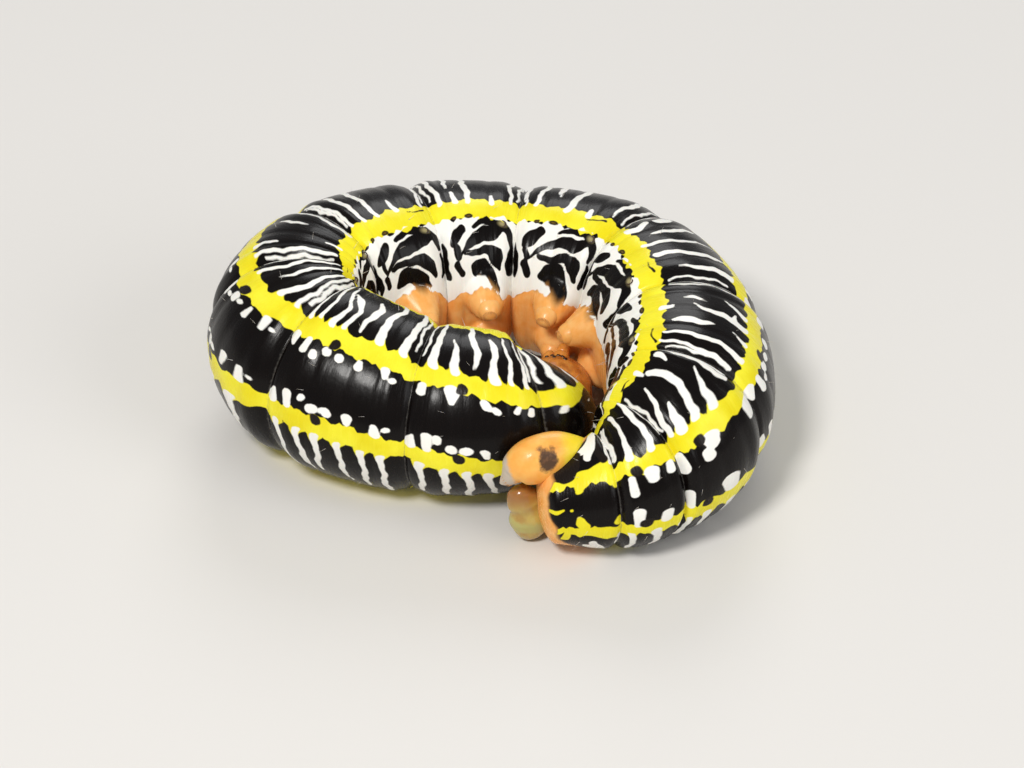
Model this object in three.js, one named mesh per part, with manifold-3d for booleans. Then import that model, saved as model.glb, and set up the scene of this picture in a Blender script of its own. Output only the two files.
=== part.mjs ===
// Zebra-striped moth larva curled in a ring on its side, life size, millimetres, +Z up.
// The body is one bent tube of ring sections. Each body segment is its own solid,
// parted from its neighbour by a thin cut in the fold between them.
import * as THREE from 'three';
import { mergeVertices } from 'three/addons/utils/BufferGeometryUtils.js';
import Module from 'manifold-3d';

const wasm = await Module();
wasm.setup();

// Driving sizes
const FOLD_GAP = 0.3;          // width of the cut between two segments
const ROOT_GAP = 0.28;         // space between a limb and the skin it grows from
const SIDES = 32;              // sides of a body section
const FOLD_DEPTH = 0.06;       // how far a fold sinks, as a share of the radius
const BELLY_FLAT = 0.88;       // depth of the underside, as a share of the radius
const REST = 0.95;             // height of the body's axis, as a share of the radius
const LEG_LENGTH = 1.15, LEG_ROOT = 0.36, LEG_TIP = 0.2;
const PROLEG_RADIUS = 0.58, PROLEG_LENGTH = 0.8;
const PROLEG_ANGLE = 162;      // degrees from the middle of the back
const HEAD_WIDTH = 2.5, HEAD_HEIGHT = 2.4, HEAD_DEPTH = 1.8;

// The folds of the body from the tail's end to the neck: place of the axis (x, y),
// radius, roll of the back above the horizontal in degrees, lift off the ground, and
// how deep the inner side of the ring may reach before it presses flat.
const FOLDS = [
  { x: 1.3, y: -7.95, r: 1.38, roll: 30, lift: 0.4, hold: 1.0 },    // end of the tail
  { x: 2.85, y: -7.68, r: 1.93, roll: 24, lift: 0.16, hold: 1.45 },
  { x: 3.78, y: -7.12, r: 2.5, roll: 17, lift: 0.03, hold: 1.95 },
  { x: 5.05, y: -5.45, r: 3.03, roll: 12, lift: 0, hold: 2.5 },
  { x: 5.1, y: -1.95, r: 3.03, roll: 9, lift: 0, hold: 3.2 },
  { x: 3.55, y: 1.25, r: 2.9, roll: 5, lift: 0, hold: 3.2 },
  { x: 0.25, y: 2.55, r: 2.82, roll: 3, lift: 0, hold: 3.2 },
  { x: -2.75, y: 2.15, r: 3.02, roll: 6, lift: 0, hold: 3.0 },
  { x: -5.5, y: 0.6, r: 3.22, roll: 12, lift: 0, hold: 2.2 },
  { x: -6.5, y: -1.2, r: 3.22, roll: 23, lift: 0, hold: 1.8 },
  { x: -5.85, y: -2.95, r: 3.1, roll: 36, lift: 0, hold: 1.9 },
  { x: -2.7, y: -4.45, r: 2.8, roll: 34, lift: 0, hold: 2.3 },
  { x: 0.3, y: -4.6, r: 2.46, roll: 17, lift: 0.28, hold: 1.5 },
  { x: 1.05, y: -3.05, r: 1.42, roll: 5, lift: 0.02, hold: 1.0 },      // neck
];
const NAMES = ['abdomen_10', 'abdomen_9', 'abdomen_8', 'abdomen_7', 'abdomen_6', 'abdomen_5', 'abdomen_4',
  'abdomen_3', 'abdomen_2', 'abdomen_1', 'thorax_3', 'thorax_2', 'thorax_1'];
const LAST = FOLDS.length - 1;

// Colours
const skinBlack = new THREE.MeshStandardMaterial({ color: 0x17100c, roughness: 0.3, metalness: 0 });
const skinOrange = new THREE.MeshStandardMaterial({ color: 0xf0a048, roughness: 0.45, metalness: 0 });
const headBrown = new THREE.MeshStandardMaterial({ color: 0xb4521c, roughness: 0.3, metalness: 0 });

const rad = (deg) => (deg * Math.PI) / 180;
const smooth = (a, b, x) => { const t = Math.min(1, Math.max(0, (x - a) / (b - a))); return t * t * (3 - 2 * t); };

// One value of the fold list, blended along the body by a cubic through the folds
function along(key, s) {
  const i = Math.min(LAST - 1, Math.max(0, Math.floor(s)));
  const t = s - i;
  const v = (k) => FOLDS[k][key];
  const a = v(i), b = v(i + 1);
  const ma = i > 0 ? (b - v(i - 1)) / 2 : b - a;
  const mb = i + 2 <= LAST ? (v(i + 2) - a) / 2 : b - a;
  return (2 * t ** 3 - 3 * t ** 2 + 1) * a + (t ** 3 - 2 * t ** 2 + t) * ma
    + (-2 * t ** 3 + 3 * t ** 2) * b + (t ** 3 - t ** 2) * mb;
}
const axisXY = (s) => new THREE.Vector2(along('x', s), along('y', s));
function heading(s) {
  const a = axisXY(Math.max(0, s - 0.06)), b = axisXY(Math.min(LAST, s + 0.06));
  return Math.atan2(b.y - a.y, b.x - a.x);
}
// Radius of the bend, taken over a short stretch
function bend(s) {
  const a = Math.max(0, s - 0.3), b = Math.min(LAST, s + 0.3);
  let turn = heading(b) - heading(a);
  turn = Math.atan2(Math.sin(turn), Math.cos(turn));
  let length = 0;
  for (let k = 0; k < 6; k++) length += axisXY(a + ((b - a) * k) / 6).distanceTo(axisXY(a + ((b - a) * (k + 1)) / 6));
  return length / Math.max(0.02, turn);
}

// Frame of the body at s: along the body, to the back, to the left side
function frame(s) {
  const h = heading(s), roll = rad(along('roll', s));
  const ahead = new THREE.Vector3(Math.cos(h), Math.sin(h), 0);
  const out = new THREE.Vector3(Math.sin(h), -Math.cos(h), 0);
  const up = new THREE.Vector3(0, 0, 1);
  const r = along('r', s);
  return {
    r, ahead, out, limit: Math.min(0.74 * bend(s), along('hold', s)),
    back: out.clone().multiplyScalar(Math.cos(roll)).addScaledVector(up, Math.sin(roll)),
    left: out.clone().multiplyScalar(-Math.sin(roll)).addScaledVector(up, Math.cos(roll)),
    centre: new THREE.Vector3(along('x', s), along('y', s), REST * r + along('lift', s)),
  };
}

// A point of the skin: s along the body, angle round it from the middle of the back,
// size as a share of the radius, slip along the axis, and grow outward
function skin(s, angle, size = 1, slip = 0, grow = 0) {
  const f = frame(s);
  const c = Math.cos(angle), n = Math.sin(angle);
  const r = f.r * size;
  const deep = c < 0 ? BELLY_FLAT : 1;
  const v = new THREE.Vector3().addScaledVector(f.back, r * c * deep).addScaledVector(f.left, r * n);
  const o = v.dot(f.out);
  if (o < 0) v.addScaledVector(f.out, o / (1 + (-o / f.limit) ** 4) ** 0.25 - o);
  v.addScaledVector(v.clone().normalize(), grow).add(f.centre).addScaledVector(f.ahead, slip);
  if (grow === 0) v.z = Math.max(0, v.z);
  return v;
}
// Swell of a segment from fold to fold
const swell = (u) => 1 - FOLD_DEPTH * (1 - smooth(0, 0.2, u) * smooth(0, 0.16, 1 - u));

// A closed solid through a row of rings, with a point at the middle of each end
function loft(rings) {
  const n = rings[0].length, pos = [], index = [];
  for (const ring of rings) for (const p of ring) pos.push(p.x, p.y, p.z);
  for (let k = 0; k + 1 < rings.length; k++) {
    for (let j = 0; j < n; j++) {
      const a = k * n + j, b = k * n + ((j + 1) % n);
      index.push(a, b, b + n, a, b + n, a + n);
    }
  }
  const cap = (row, flip) => {
    const mid = new THREE.Vector3();
    for (const p of rings[row]) mid.addScaledVector(p, 1 / n);
    const m = pos.length / 3;
    pos.push(mid.x, mid.y, mid.z);
    for (let j = 0; j < n; j++) {
      const a = row * n + j, b = row * n + ((j + 1) % n);
      if (flip) index.push(m, a, b); else index.push(m, b, a);
    }
  };
  cap(0, false);
  cap(rings.length - 1, true);
  const g = new THREE.BufferGeometry();
  g.setAttribute('position', new THREE.Float32BufferAttribute(pos, 3));
  g.setIndex(index);
  return facingOut(g);
}
// Turns the faces over where the solid's volume comes out negative
function facingOut(g) {
  const p = g.attributes.position, ix = g.index.array;
  const a = new THREE.Vector3(), b = new THREE.Vector3(), c = new THREE.Vector3();
  let volume = 0;
  for (let k = 0; k < ix.length; k += 3) {
    a.fromBufferAttribute(p, ix[k]); b.fromBufferAttribute(p, ix[k + 1]); c.fromBufferAttribute(p, ix[k + 2]);
    volume += a.dot(b.cross(c));
  }
  if (volume < 0) for (let k = 0; k < ix.length; k += 3) [ix[k + 1], ix[k + 2]] = [ix[k + 2], ix[k + 1]];
  return g;
}

// Solids for joining and cutting
function toSolid(g) {
  let m = g.clone();
  m.deleteAttribute('normal');
  m.deleteAttribute('uv');
  m = mergeVertices(m, 1e-5);
  return new wasm.Manifold(new wasm.Mesh({
    numProp: 3,
    vertProperties: new Float32Array(m.attributes.position.array),
    triVerts: new Uint32Array(m.index.array),
  }));
}
function largest(solid) {
  return solid.decompose().sort((a, b) => b.volume() - a.volume())[0];
}
function toGeometry(solid) {
  const m = largest(solid).getMesh();
  const g = new THREE.BufferGeometry();
  const pos = new Float32Array((m.vertProperties.length / m.numProp) * 3);
  for (let k = 0; k < pos.length / 3; k++) for (let j = 0; j < 3; j++) pos[3 * k + j] = m.vertProperties[k * m.numProp + j];
  g.setAttribute('position', new THREE.BufferAttribute(pos, 3));
  g.setIndex(Array.from(m.triVerts));
  return g;
}

// A body segment from fold i to fold i + 1
function segmentGeometry(i, grow = 0) {
  const half = FOLD_GAP / 2 - (grow > 0 ? 0.12 : 0);
  const ring = (s, size, slip) => {
    const row = [];
    for (let j = 0; j < SIDES; j++) row.push(skin(s, (2 * Math.PI * j) / SIDES, size, slip, grow));
    return row;
  };
  const rings = [];
  if (i === 0) {
    // the tail's blunt end
    rings.push(ring(0, 0.3, -0.5 - grow), ring(0, 0.62, -0.4 - grow), ring(0, 0.84, -0.2 - grow));
    rings.push(ring(0, 0.95, 0));
  } else {
    rings.push(ring(i, swell(0), half));
  }
  const short = axisXY(i).distanceTo(axisXY(i + 1)) < 2.1;
  for (const u of short ? [0.3, 0.5, 0.7] : [0.16, 0.3, 0.5, 0.7, 0.86]) rings.push(ring(i + u, swell(u), 0));
  rings.push(ring(i + 1, swell(1), -half));
  return loft(rings);
}

const model = new THREE.Group();
const meshes = {};
function add(name, geometry, material) {
  const mesh = new THREE.Mesh(geometry, material);
  mesh.name = name;
  model.add(mesh);
  meshes[name] = mesh;
}

for (let i = 0; i < LAST - 1; i++) add(NAMES[i], segmentGeometry(i), skinBlack);
// The first segment behind the head bends hard against its neighbour and is cut clear of it
add(NAMES[LAST - 1], toGeometry(toSolid(segmentGeometry(LAST - 1)).subtract(toSolid(segmentGeometry(LAST - 2, 0.2)))), skinBlack);

// A tapering limb with round section along a line, cut clear of the skin it stands on
function limbSolid(root, tip, rootRadius, tipRadius, sides, belly) {
  const dir = tip.clone().sub(root), length = dir.length();
  dir.normalize();
  const side = new THREE.Vector3(0, 0, 1).cross(dir).normalize();
  const top = dir.clone().cross(side);
  const rings = belly.map(([u, k]) => {
    const row = [], r = (rootRadius + (tipRadius - rootRadius) * u) * k;
    for (let j = 0; j < sides; j++) {
      const a = (2 * Math.PI * j) / sides;
      row.push(root.clone().addScaledVector(dir, u * length)
        .addScaledVector(side, r * Math.cos(a)).addScaledVector(top, r * Math.sin(a)));
    }
    return row;
  });
  return toSolid(loft(rings));
}
// The head: a round capsule with a shallow line down its middle
const neck = frame(LAST);
const headAhead = neck.ahead.clone();
const headBase = neck.centre.clone();
function headRing(slip, size, groove) {
  const row = [];
  for (let j = 0; j < SIDES; j++) {
    const a = (2 * Math.PI * j) / SIDES;
    const dent = 1 - groove * Math.exp(-((Math.atan2(Math.sin(a), Math.cos(a)) / 0.28) ** 2));
    row.push(headBase.clone().addScaledVector(headAhead, slip)
      .addScaledVector(neck.back, (HEAD_HEIGHT / 2) * size * dent * Math.cos(a))
      .addScaledVector(neck.left, (HEAD_WIDTH / 2) * size * Math.sin(a)));
  }
  return row;
}
function headSolid(grow, groove) {
  const rings = [];
  for (let k = 0; k <= 8; k++) {
    const u = k / 8, size = 0.2 + 0.8 * Math.sin(Math.PI * (0.2 + 0.72 * u)) ** 0.6;
    rings.push(headRing(0.16 + (HEAD_DEPTH + grow) * u, size + grow / 1.25, groove * u));
  }
  return toSolid(loft(rings));
}
add('head', toGeometry(headSolid(0, 0.06)), headBrown);

function limb(name, i, u, angle, reach, rootRadius, tipRadius, lean, rise, form, material) {
  const s = i + u, a = rad(angle), f = frame(s);
  const foot = skin(s, a, 1);
  const away = f.out.clone().multiplyScalar(-1).addScaledVector(f.ahead, lean)
    .add(new THREE.Vector3(0, 0, rise)).normalize();
  const root = foot.clone().addScaledVector(away, -0.5);
  const tip = foot.clone().addScaledVector(away, reach);
  let solid = limbSolid(root, tip, rootRadius, tipRadius, 12, form);
  for (const k of [i - 1, i, i + 1]) {
    if (k >= 0 && k < LAST) solid = solid.subtract(toSolid(segmentGeometry(k, ROOT_GAP)));
  }
  add(name, toGeometry(solid.subtract(headSolid(ROOT_GAP, 0))), material);
}

const LEG_FORM = [[0, 1], [0.55, 1.05], [0.8, 1], [1, 0.8]];
const FOOT_FORM = [[0, 1], [0.5, 0.96], [0.78, 0.9], [0.92, 1.0], [1, 0.78]];
// Legs: segment, place along it, angles of the two sides, lean towards the head
for (const [name, i, u, left, right, lean, reach] of [
  ['leg_1', 12, 0.84, 144, -150, 0.9, 0.8],
  ['leg_2', 11, 0.36, 146, -163, -0.3, LEG_LENGTH],
  ['leg_3', 10, 0.62, 150, -166, 0.2, LEG_LENGTH],
]) {
  limb(`${name}_left`, i, u, left, reach, LEG_ROOT, LEG_TIP, lean, 0.12, LEG_FORM, headBrown);
  limb(`${name}_right`, i, u, right, reach, LEG_ROOT, LEG_TIP, lean, 0.02, LEG_FORM, headBrown);
}
for (const k of [3, 4, 5, 6]) {
  // the lower ones near the head are drawn in
  const i = 10 - k, low = k > 4 ? 0.4 : PROLEG_LENGTH;
  limb(`proleg_${k}_left`, i, 0.45, PROLEG_ANGLE, PROLEG_LENGTH, PROLEG_RADIUS, PROLEG_RADIUS * 0.85, 0, -0.2, FOOT_FORM, skinOrange);
  limb(`proleg_${k}_right`, i, 0.45, -PROLEG_ANGLE, low, PROLEG_RADIUS, PROLEG_RADIUS * 0.85, 0, -0.2, FOOT_FORM, skinOrange);
}

// The clasping limbs of the last segment: a round lobe and a pale foot at its end
function lobe(centre, sizes, foot, footTip, footRadius) {
  const ball = new THREE.SphereGeometry(1, 16, 12);
  ball.scale(...sizes);
  ball.translate(centre.x, centre.y, centre.z);
  const cone = limbSolid(foot, footTip, footRadius, footRadius * 0.4, 12, [[0, 1], [0.6, 1], [1, 0.7]]);
  let solid = toSolid(ball).add(cone).subtract(toSolid(segmentGeometry(0, ROOT_GAP)));
  return solid;
}
const V = (x, y, z) => new THREE.Vector3(x, y, z);
add('anal_proleg_left', toGeometry(lobe(V(0.85, -7.78, 3.0), [1.0, 0.6, 0.74], V(0.4, -7.85, 2.85), V(-0.32, -7.85, 2.3), 0.42)), skinOrange);
add('anal_proleg_right', toGeometry(lobe(V(0.55, -7.72, 1.12), [0.78, 0.64, 1.0], V(0.45, -7.74, 1.5), V(-0.1, -7.76, 1.55), 0.42)), skinOrange);

// Short feelers and jaws at the front of the head
function facePiece(name, across, high, reach, rootRadius, tipRadius, slip) {
  const root = headBase.clone().addScaledVector(headAhead, HEAD_DEPTH * slip)
    .addScaledVector(neck.left, across).addScaledVector(neck.back, high);
  const tip = root.clone().addScaledVector(headAhead, reach).addScaledVector(neck.left, across * 0.25)
    .addScaledVector(neck.back, -0.15);
  const solid = limbSolid(root, tip, rootRadius, tipRadius, 10, [[0, 1], [0.7, 1], [1, 0.8]]).subtract(headSolid(ROOT_GAP, 0));
  add(name, toGeometry(solid), headBrown);
}
facePiece('antenna_left', 0.72, -0.1, 1.0, 0.26, 0.18, 0.85);
facePiece('antenna_right', -0.72, -0.1, 1.0, 0.26, 0.18, 0.85);
facePiece('mandible_left', 0.34, -0.6, 0.8, 0.28, 0.22, 0.85);
facePiece('mandible_right', -0.34, -0.6, 0.8, 0.28, 0.22, 0.85);

// The origin: on the ground under the middle of the whole
const box = new THREE.Box3().setFromObject(model);
for (const mesh of Object.values(meshes)) {
  mesh.geometry.translate(-(box.min.x + box.max.x) / 2, -(box.min.y + box.max.y) / 2, -box.min.z);
}

export default model;
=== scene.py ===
# %% [markdown]
# A zebra-striped moth larva lies curled on its side, life size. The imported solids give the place
# and size of each segment. This file dresses them: the skin with its markings, in three pieces
# that meet at folds, the clasping feet at the tail, the legs, the head and the hairs.

# %% Load the frame
import math

import bmesh
import bpy
import numpy as np
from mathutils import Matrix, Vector


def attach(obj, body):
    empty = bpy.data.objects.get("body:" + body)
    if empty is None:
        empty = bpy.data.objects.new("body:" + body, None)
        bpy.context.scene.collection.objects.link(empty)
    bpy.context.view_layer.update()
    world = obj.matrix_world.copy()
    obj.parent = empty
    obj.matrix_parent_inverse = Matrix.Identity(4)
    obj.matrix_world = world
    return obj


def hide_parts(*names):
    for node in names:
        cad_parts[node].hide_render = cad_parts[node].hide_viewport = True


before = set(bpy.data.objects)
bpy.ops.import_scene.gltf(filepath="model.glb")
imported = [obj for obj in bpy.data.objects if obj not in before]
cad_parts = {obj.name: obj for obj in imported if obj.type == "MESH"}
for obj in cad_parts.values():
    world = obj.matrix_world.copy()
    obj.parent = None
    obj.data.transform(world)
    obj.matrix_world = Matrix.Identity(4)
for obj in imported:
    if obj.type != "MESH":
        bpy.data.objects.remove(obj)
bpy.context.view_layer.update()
MM = 0.001
print("nodes", len(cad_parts))

# %% [markdown]
# The pose is a list of the folds between the segments, from the tail to the neck: place of
# the body's axis, radius, roll of the back above the horizontal, lift off the ground, and how
# deep the inner side reaches before it presses flat. It repeats the solids' own list, so skin
# and solids agree. A cubic through the folds was chosen over a Bezier curve object, because
# every hair and mark can then be placed from the same two numbers.

# %% The pose of the body
# a row is x, y, radius, roll in degrees, lift, and depth of the inner side
FOLDS = np.array([
    (1.3, -7.95, 1.38, 30, 0.40, 1.0),
    (2.85, -7.68, 1.93, 24, 0.16, 1.45),
    (3.78, -7.12, 2.50, 17, 0.03, 1.95),
    (5.05, -5.45, 3.03, 12, 0, 2.5),
    (5.1, -1.95, 3.03, 9, 0, 3.2),
    (3.55, 1.25, 2.90, 5, 0, 3.2),
    (0.25, 2.55, 2.82, 3, 0, 3.2),
    (-2.75, 2.15, 3.02, 6, 0, 3.0),
    (-5.5, 0.6, 3.22, 12, 0, 2.2),
    (-6.5, -1.2, 3.22, 23, 0, 1.8),
    (-5.85, -2.95, 3.10, 36, 0, 1.9),
    (-2.7, -4.45, 2.80, 34, 0, 2.3),
    (0.3, -4.6, 2.46, 17, 0.28, 1.5),
    (1.05, -3.05, 1.42, 5, 0.02, 1.0),
])
X, Y, RADIUS, ROLL, LIFT, HOLD = range(6)
LAST = len(FOLDS) - 1
SHIFT = np.array([0.678, 2.036, 0.0])     # from the pose's origin to the part's
chord = np.hypot(np.diff(FOLDS[:, X]), np.diff(FOLDS[:, Y]))
seg_length = np.array([max(1.5, c * 1.04) for c in chord])
print("folds", len(FOLDS), "length between the end folds, mm", round(float(chord.sum()), 1))


# %% Smooth values along the body
HEADING_STEP, BEND_STEP = 0.06, 0.3       # how far each way a direction and a bend are measured


def cubic(t, a, b, leave, reach):
    """From a to b while t goes from 0 to 1, with the slopes leave and reach."""
    stay, go = 2 * t**3 - 3 * t**2 + 1, 3 * t**2 - 2 * t**3
    return stay * a + (t**3 - 2 * t**2 + t) * leave + go * b + (t**3 - t**2) * reach


def along(column, s):
    v, i = FOLDS[:, column], np.clip(np.floor(s).astype(int), 0, LAST - 1)
    a, b = v[i], v[i + 1]
    leave = np.where(i > 0, (b - v[np.maximum(i - 1, 0)]) / 2, b - a)
    reach = np.where(i + 2 <= LAST, (v[np.minimum(i + 2, LAST)] - a) / 2, b - a)
    return cubic(s - i, a, b, leave, reach)


def heading(s):
    a, b = np.maximum(0, s - HEADING_STEP), np.minimum(LAST, s + HEADING_STEP)
    return np.arctan2(along(Y, b) - along(Y, a), along(X, b) - along(X, a))


def bend_radius(s):
    a, b = np.maximum(0, s - BEND_STEP), np.minimum(LAST, s + BEND_STEP)
    turn = heading(b) - heading(a)
    turn = np.arctan2(np.sin(turn), np.cos(turn))
    t = [a + (b - a) * k / 6 for k in range(7)]
    length = sum(np.hypot(along(X, q) - along(X, p), along(Y, q) - along(Y, p)) for p, q in zip(t, t[1:]))
    return length / np.maximum(0.02, turn)


print("tightest bend, mm", round(float(bend_radius(np.linspace(0, LAST, 200)).min()), 2))

# %% [markdown]
# A larva's skin is soft, so where the body bends hard the inside of the bend is squeezed.
# skin_point turns a place on the body (s along it, angle round it from the middle of the back)
# into a point, with that squeeze and with the underside flattened.

# %% A point of the skin
BELLY_FLAT, REST = 0.88, 0.95     # shares of the radius: the underside, and the axis above the ground
SQUEEZE = 0.74                    # share of the bend's own radius that the inner side may reach
GROUND_BLEND = 0.0016             # square millimetres; rounds the skin off where it meets the ground


def body_frame(s):
    s = np.asarray(s, float)
    h, roll = heading(s), np.radians(along(ROLL, s))
    zero, one = np.zeros_like(h), np.ones_like(h)
    ahead = np.stack([np.cos(h), np.sin(h), zero], -1)
    out = np.stack([np.sin(h), -np.cos(h), zero], -1)
    up = np.stack([zero, zero, one], -1)
    back = out * np.cos(roll)[..., None] + up * np.sin(roll)[..., None]
    left = -out * np.sin(roll)[..., None] + up * np.cos(roll)[..., None]
    r = along(RADIUS, s)
    centre = np.stack([along(X, s), along(Y, s), REST * r + along(LIFT, s)], -1) + SHIFT
    limit = np.minimum(SQUEEZE * bend_radius(s), along(HOLD, s))
    return dict(ahead=ahead, out=out, back=back, left=left, r=r, centre=centre, limit=limit)


def skin_point(s, angle, size=1.0, slip=0.0):
    f = body_frame(s)
    c, n = np.cos(angle), np.sin(angle)
    r = f["r"] * size
    v = f["back"] * (r * c * np.where(c < 0, BELLY_FLAT, 1))[..., None] + f["left"] * (r * n)[..., None]
    o = (v * f["out"]).sum(-1)
    pressed = np.where(o < 0, o / (1 + (np.abs(o) / f["limit"]) ** 4) ** 0.25 - o, 0)
    v = v + f["out"] * pressed[..., None] + f["centre"] + f["ahead"] * np.asarray(slip)[..., None]
    v[..., 2] = 0.5 * (v[..., 2] + np.sqrt(v[..., 2] ** 2 + GROUND_BLEND))
    return v


def ease(a, b, x):
    t = np.clip((x - a) / (b - a), 0, 1)
    return t * t * (3 - 2 * t)


print("middle of the back on fold 6, mm", skin_point(np.array(6.0), np.array(0.0)).round(2))

# %% [markdown]
# Small helpers. A piece is a mesh in metres with its object at the origin, so that a pattern on
# Object coordinates stays where it is. The marks ride on the mesh as a named value for each
# point, which the materials read.

# %% Mesh helpers
def make_piece(name, points, faces, material, values=None):
    mesh = bpy.data.meshes.new(name)
    mesh.from_pydata((np.asarray(points) * MM).tolist(), [], faces)
    for key, data in (values or {}).items():
        layer = mesh.attributes.new(key, "FLOAT", "POINT")
        layer.data.foreach_set("value", np.asarray(data, np.float32))
    mesh.polygons.foreach_set("use_smooth", [True] * len(mesh.polygons))
    mesh.materials.append(material)
    mesh.update()
    obj = bpy.data.objects.new(name, mesh)
    bpy.context.scene.collection.objects.link(obj)
    return obj


def grid_faces(rows, cols, start, end):
    """Quads of a tube of rings; start and end are the numbers of the points that close it."""
    a = (np.arange(rows - 1) * cols)[:, None] + np.arange(cols)
    b = (np.arange(rows - 1) * cols)[:, None] + (np.arange(cols) + 1) % cols
    faces = np.stack([a, b, b + cols, a + cols], -1).reshape(-1, 4).tolist()
    k = (rows - 1) * cols
    faces += [(start, (j + 1) % cols, j) for j in range(cols)]
    faces += [(end, k + j, k + (j + 1) % cols) for j in range(cols)]
    return faces


def face_out(obj):
    bm = bmesh.new()
    bm.from_mesh(obj.data)
    bmesh.ops.recalc_face_normals(bm, faces=bm.faces)
    if bm.calc_volume(signed=True) < 0:
        bmesh.ops.reverse_faces(bm, faces=bm.faces)
    bm.to_mesh(obj.data)
    bm.free()
    return obj


def wear(obj, *nodes, slot="skin"):
    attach(obj, "root")
    if nodes:
        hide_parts(*nodes)
    return obj


# %% [markdown]
# Materials are node trees. lay_over lays one colour over another, and mark says where: it is 1
# wherever a mark's value is above zero. The values are distances in millimetres to the mark's
# edge, so the edge stays crisp however coarse the mesh is, and a little noise makes it uneven.

# %% Node helpers
def new_material(name, roughness, specular=0.5, subsurface=0.0, coat=0.0):
    m = bpy.data.materials.new(name)
    m.use_nodes = True
    b = m.node_tree.nodes["Principled BSDF"]
    b.inputs["Roughness"].default_value = roughness
    b.inputs["Specular IOR Level"].default_value = specular
    b.inputs["Subsurface Weight"].default_value = subsurface
    b.inputs["Subsurface Radius"].default_value = (1.0, 0.5, 0.25)
    b.inputs["Subsurface Scale"].default_value = 0.0004
    b.inputs["Coat Weight"].default_value = coat
    b.inputs["Coat Roughness"].default_value = 0.12
    return m, m.node_tree, b


def node(tree, kind, **settings):
    n = tree.nodes.new(kind)
    for key, value in settings.items():
        if key in n.inputs:
            n.inputs[key].default_value = value
        else:
            setattr(n, key, value)
    return n


def maths(tree, operation, a, b=None, c=None):
    n = node(tree, "ShaderNodeMath", operation=operation)
    for k, v in enumerate((a, b, c)):
        if v is None:
            continue
        if isinstance(v, (int, float)):
            n.inputs[k].default_value = v
        else:
            tree.links.new(v, n.inputs[k])
    return n.outputs[0]


def mark(tree, name, wobble=None, soft=0.02):
    """1 inside the named mark, 0 outside, with its edge moved by wobble."""
    value = node(tree, "ShaderNodeAttribute", attribute_name=name).outputs["Fac"]
    if wobble is not None:
        value = maths(tree, "ADD", value, wobble)
    r = node(tree, "ShaderNodeMapRange", interpolation_type="SMOOTHSTEP")
    tree.links.new(value, r.inputs["Value"])
    r.inputs["From Min"].default_value = -soft
    r.inputs["From Max"].default_value = soft
    return r.outputs["Result"]


def lay_over(tree, under, over, factor):
    n = node(tree, "ShaderNodeMix", data_type="RGBA")
    for socket, v in ((n.inputs[0], factor), (n.inputs[6], under), (n.inputs[7], over)):
        if isinstance(v, (int, float)):
            socket.default_value = v
        elif isinstance(v, tuple):
            socket.default_value = (*v, 1)
        else:
            tree.links.new(v, socket)
    return n.outputs[2]


def noise(tree, scale, detail=3, where=None, rough=0.5):
    n = node(tree, "ShaderNodeTexNoise", Scale=scale, Detail=detail, Roughness=rough)
    if where is None:
        where = node(tree, "ShaderNodeTexCoord").outputs["Object"]
    tree.links.new(where, n.inputs["Vector"])
    return n.outputs["Fac"]


def node_clamp(tree, value):
    n = node(tree, "ShaderNodeClamp")
    tree.links.new(value, n.inputs["Value"])
    return n.outputs["Result"]


def spread(tree, value, low, high):
    r = node(tree, "ShaderNodeMapRange")
    tree.links.new(value, r.inputs["Value"])
    r.inputs["To Min"].default_value = low
    r.inputs["To Max"].default_value = high
    return r.outputs["Result"]


# %% [markdown]
# The markings of this species: a black back between two lemon yellow stripes, a zone of thin
# white bars below each, a second yellow stripe with the breathing holes, a white net round
# black blotches, and an orange underside. They are worked out for each point of the skin from
# its place in its segment. Painting an image would be quicker, but marks made by rule stay
# sharp at any distance and need no image file.

# %% Sizes of the markings
BACK_STRIPE = (21.5, 34.5)        # degrees from the middle of the back
TAIL_BACK_STRIPE = (21.5, 32.0)   # on the last segment
SIDE_STRIPE = (88.0, 106.5)
SIDE_STRIPE_RAISED = {9: 2, 10: 7, 11: 8, 12: 8}     # on the upper side, by segment
ORANGE_FROM = 150.5
ORANGE_DROPS = 7.0                # how much lower it begins at the middle of the body
ORANGE_LOWER_SIDE = 14            # how much higher it begins on the hidden lower side
HOLE_AT = (0.17, 110.0)           # the breathing hole of a segment: place along it, degrees
# the fifth name is a painted highlight at the breathing holes, not a mark of the skin
MARK_NAMES = ("yellow", "white", "dark", "brown", "hole_glint", "orange")
FINE_MARKED = (8, 9)              # segments with longer drops and thinner bars
BLANK = -0.3                      # a mark's value well away from the mark
# Uneven edges: a shift for each segment, a seed, and waves by length and height in millimetres
EDGES = {
    "back_top": (3.1, 11, (0.75, 0.055), (0.34, 0.045), (0.18, 0.018)),
    "back_foot": (2.3, 17, (0.9, 0.06), (0.33, 0.04), (0.19, 0.012)),
    "side_top": (1.7, 23, (1.5, 0.06), (0.5, 0.05), (0.26, 0.025)),
    "side_foot": (2.9, 29, (1.2, 0.07), (0.45, 0.05), (0.27, 0.03)),
    "orange": (1.1, 41, (0.8, 0.05), (0.42, 0.03)),
}

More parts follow.
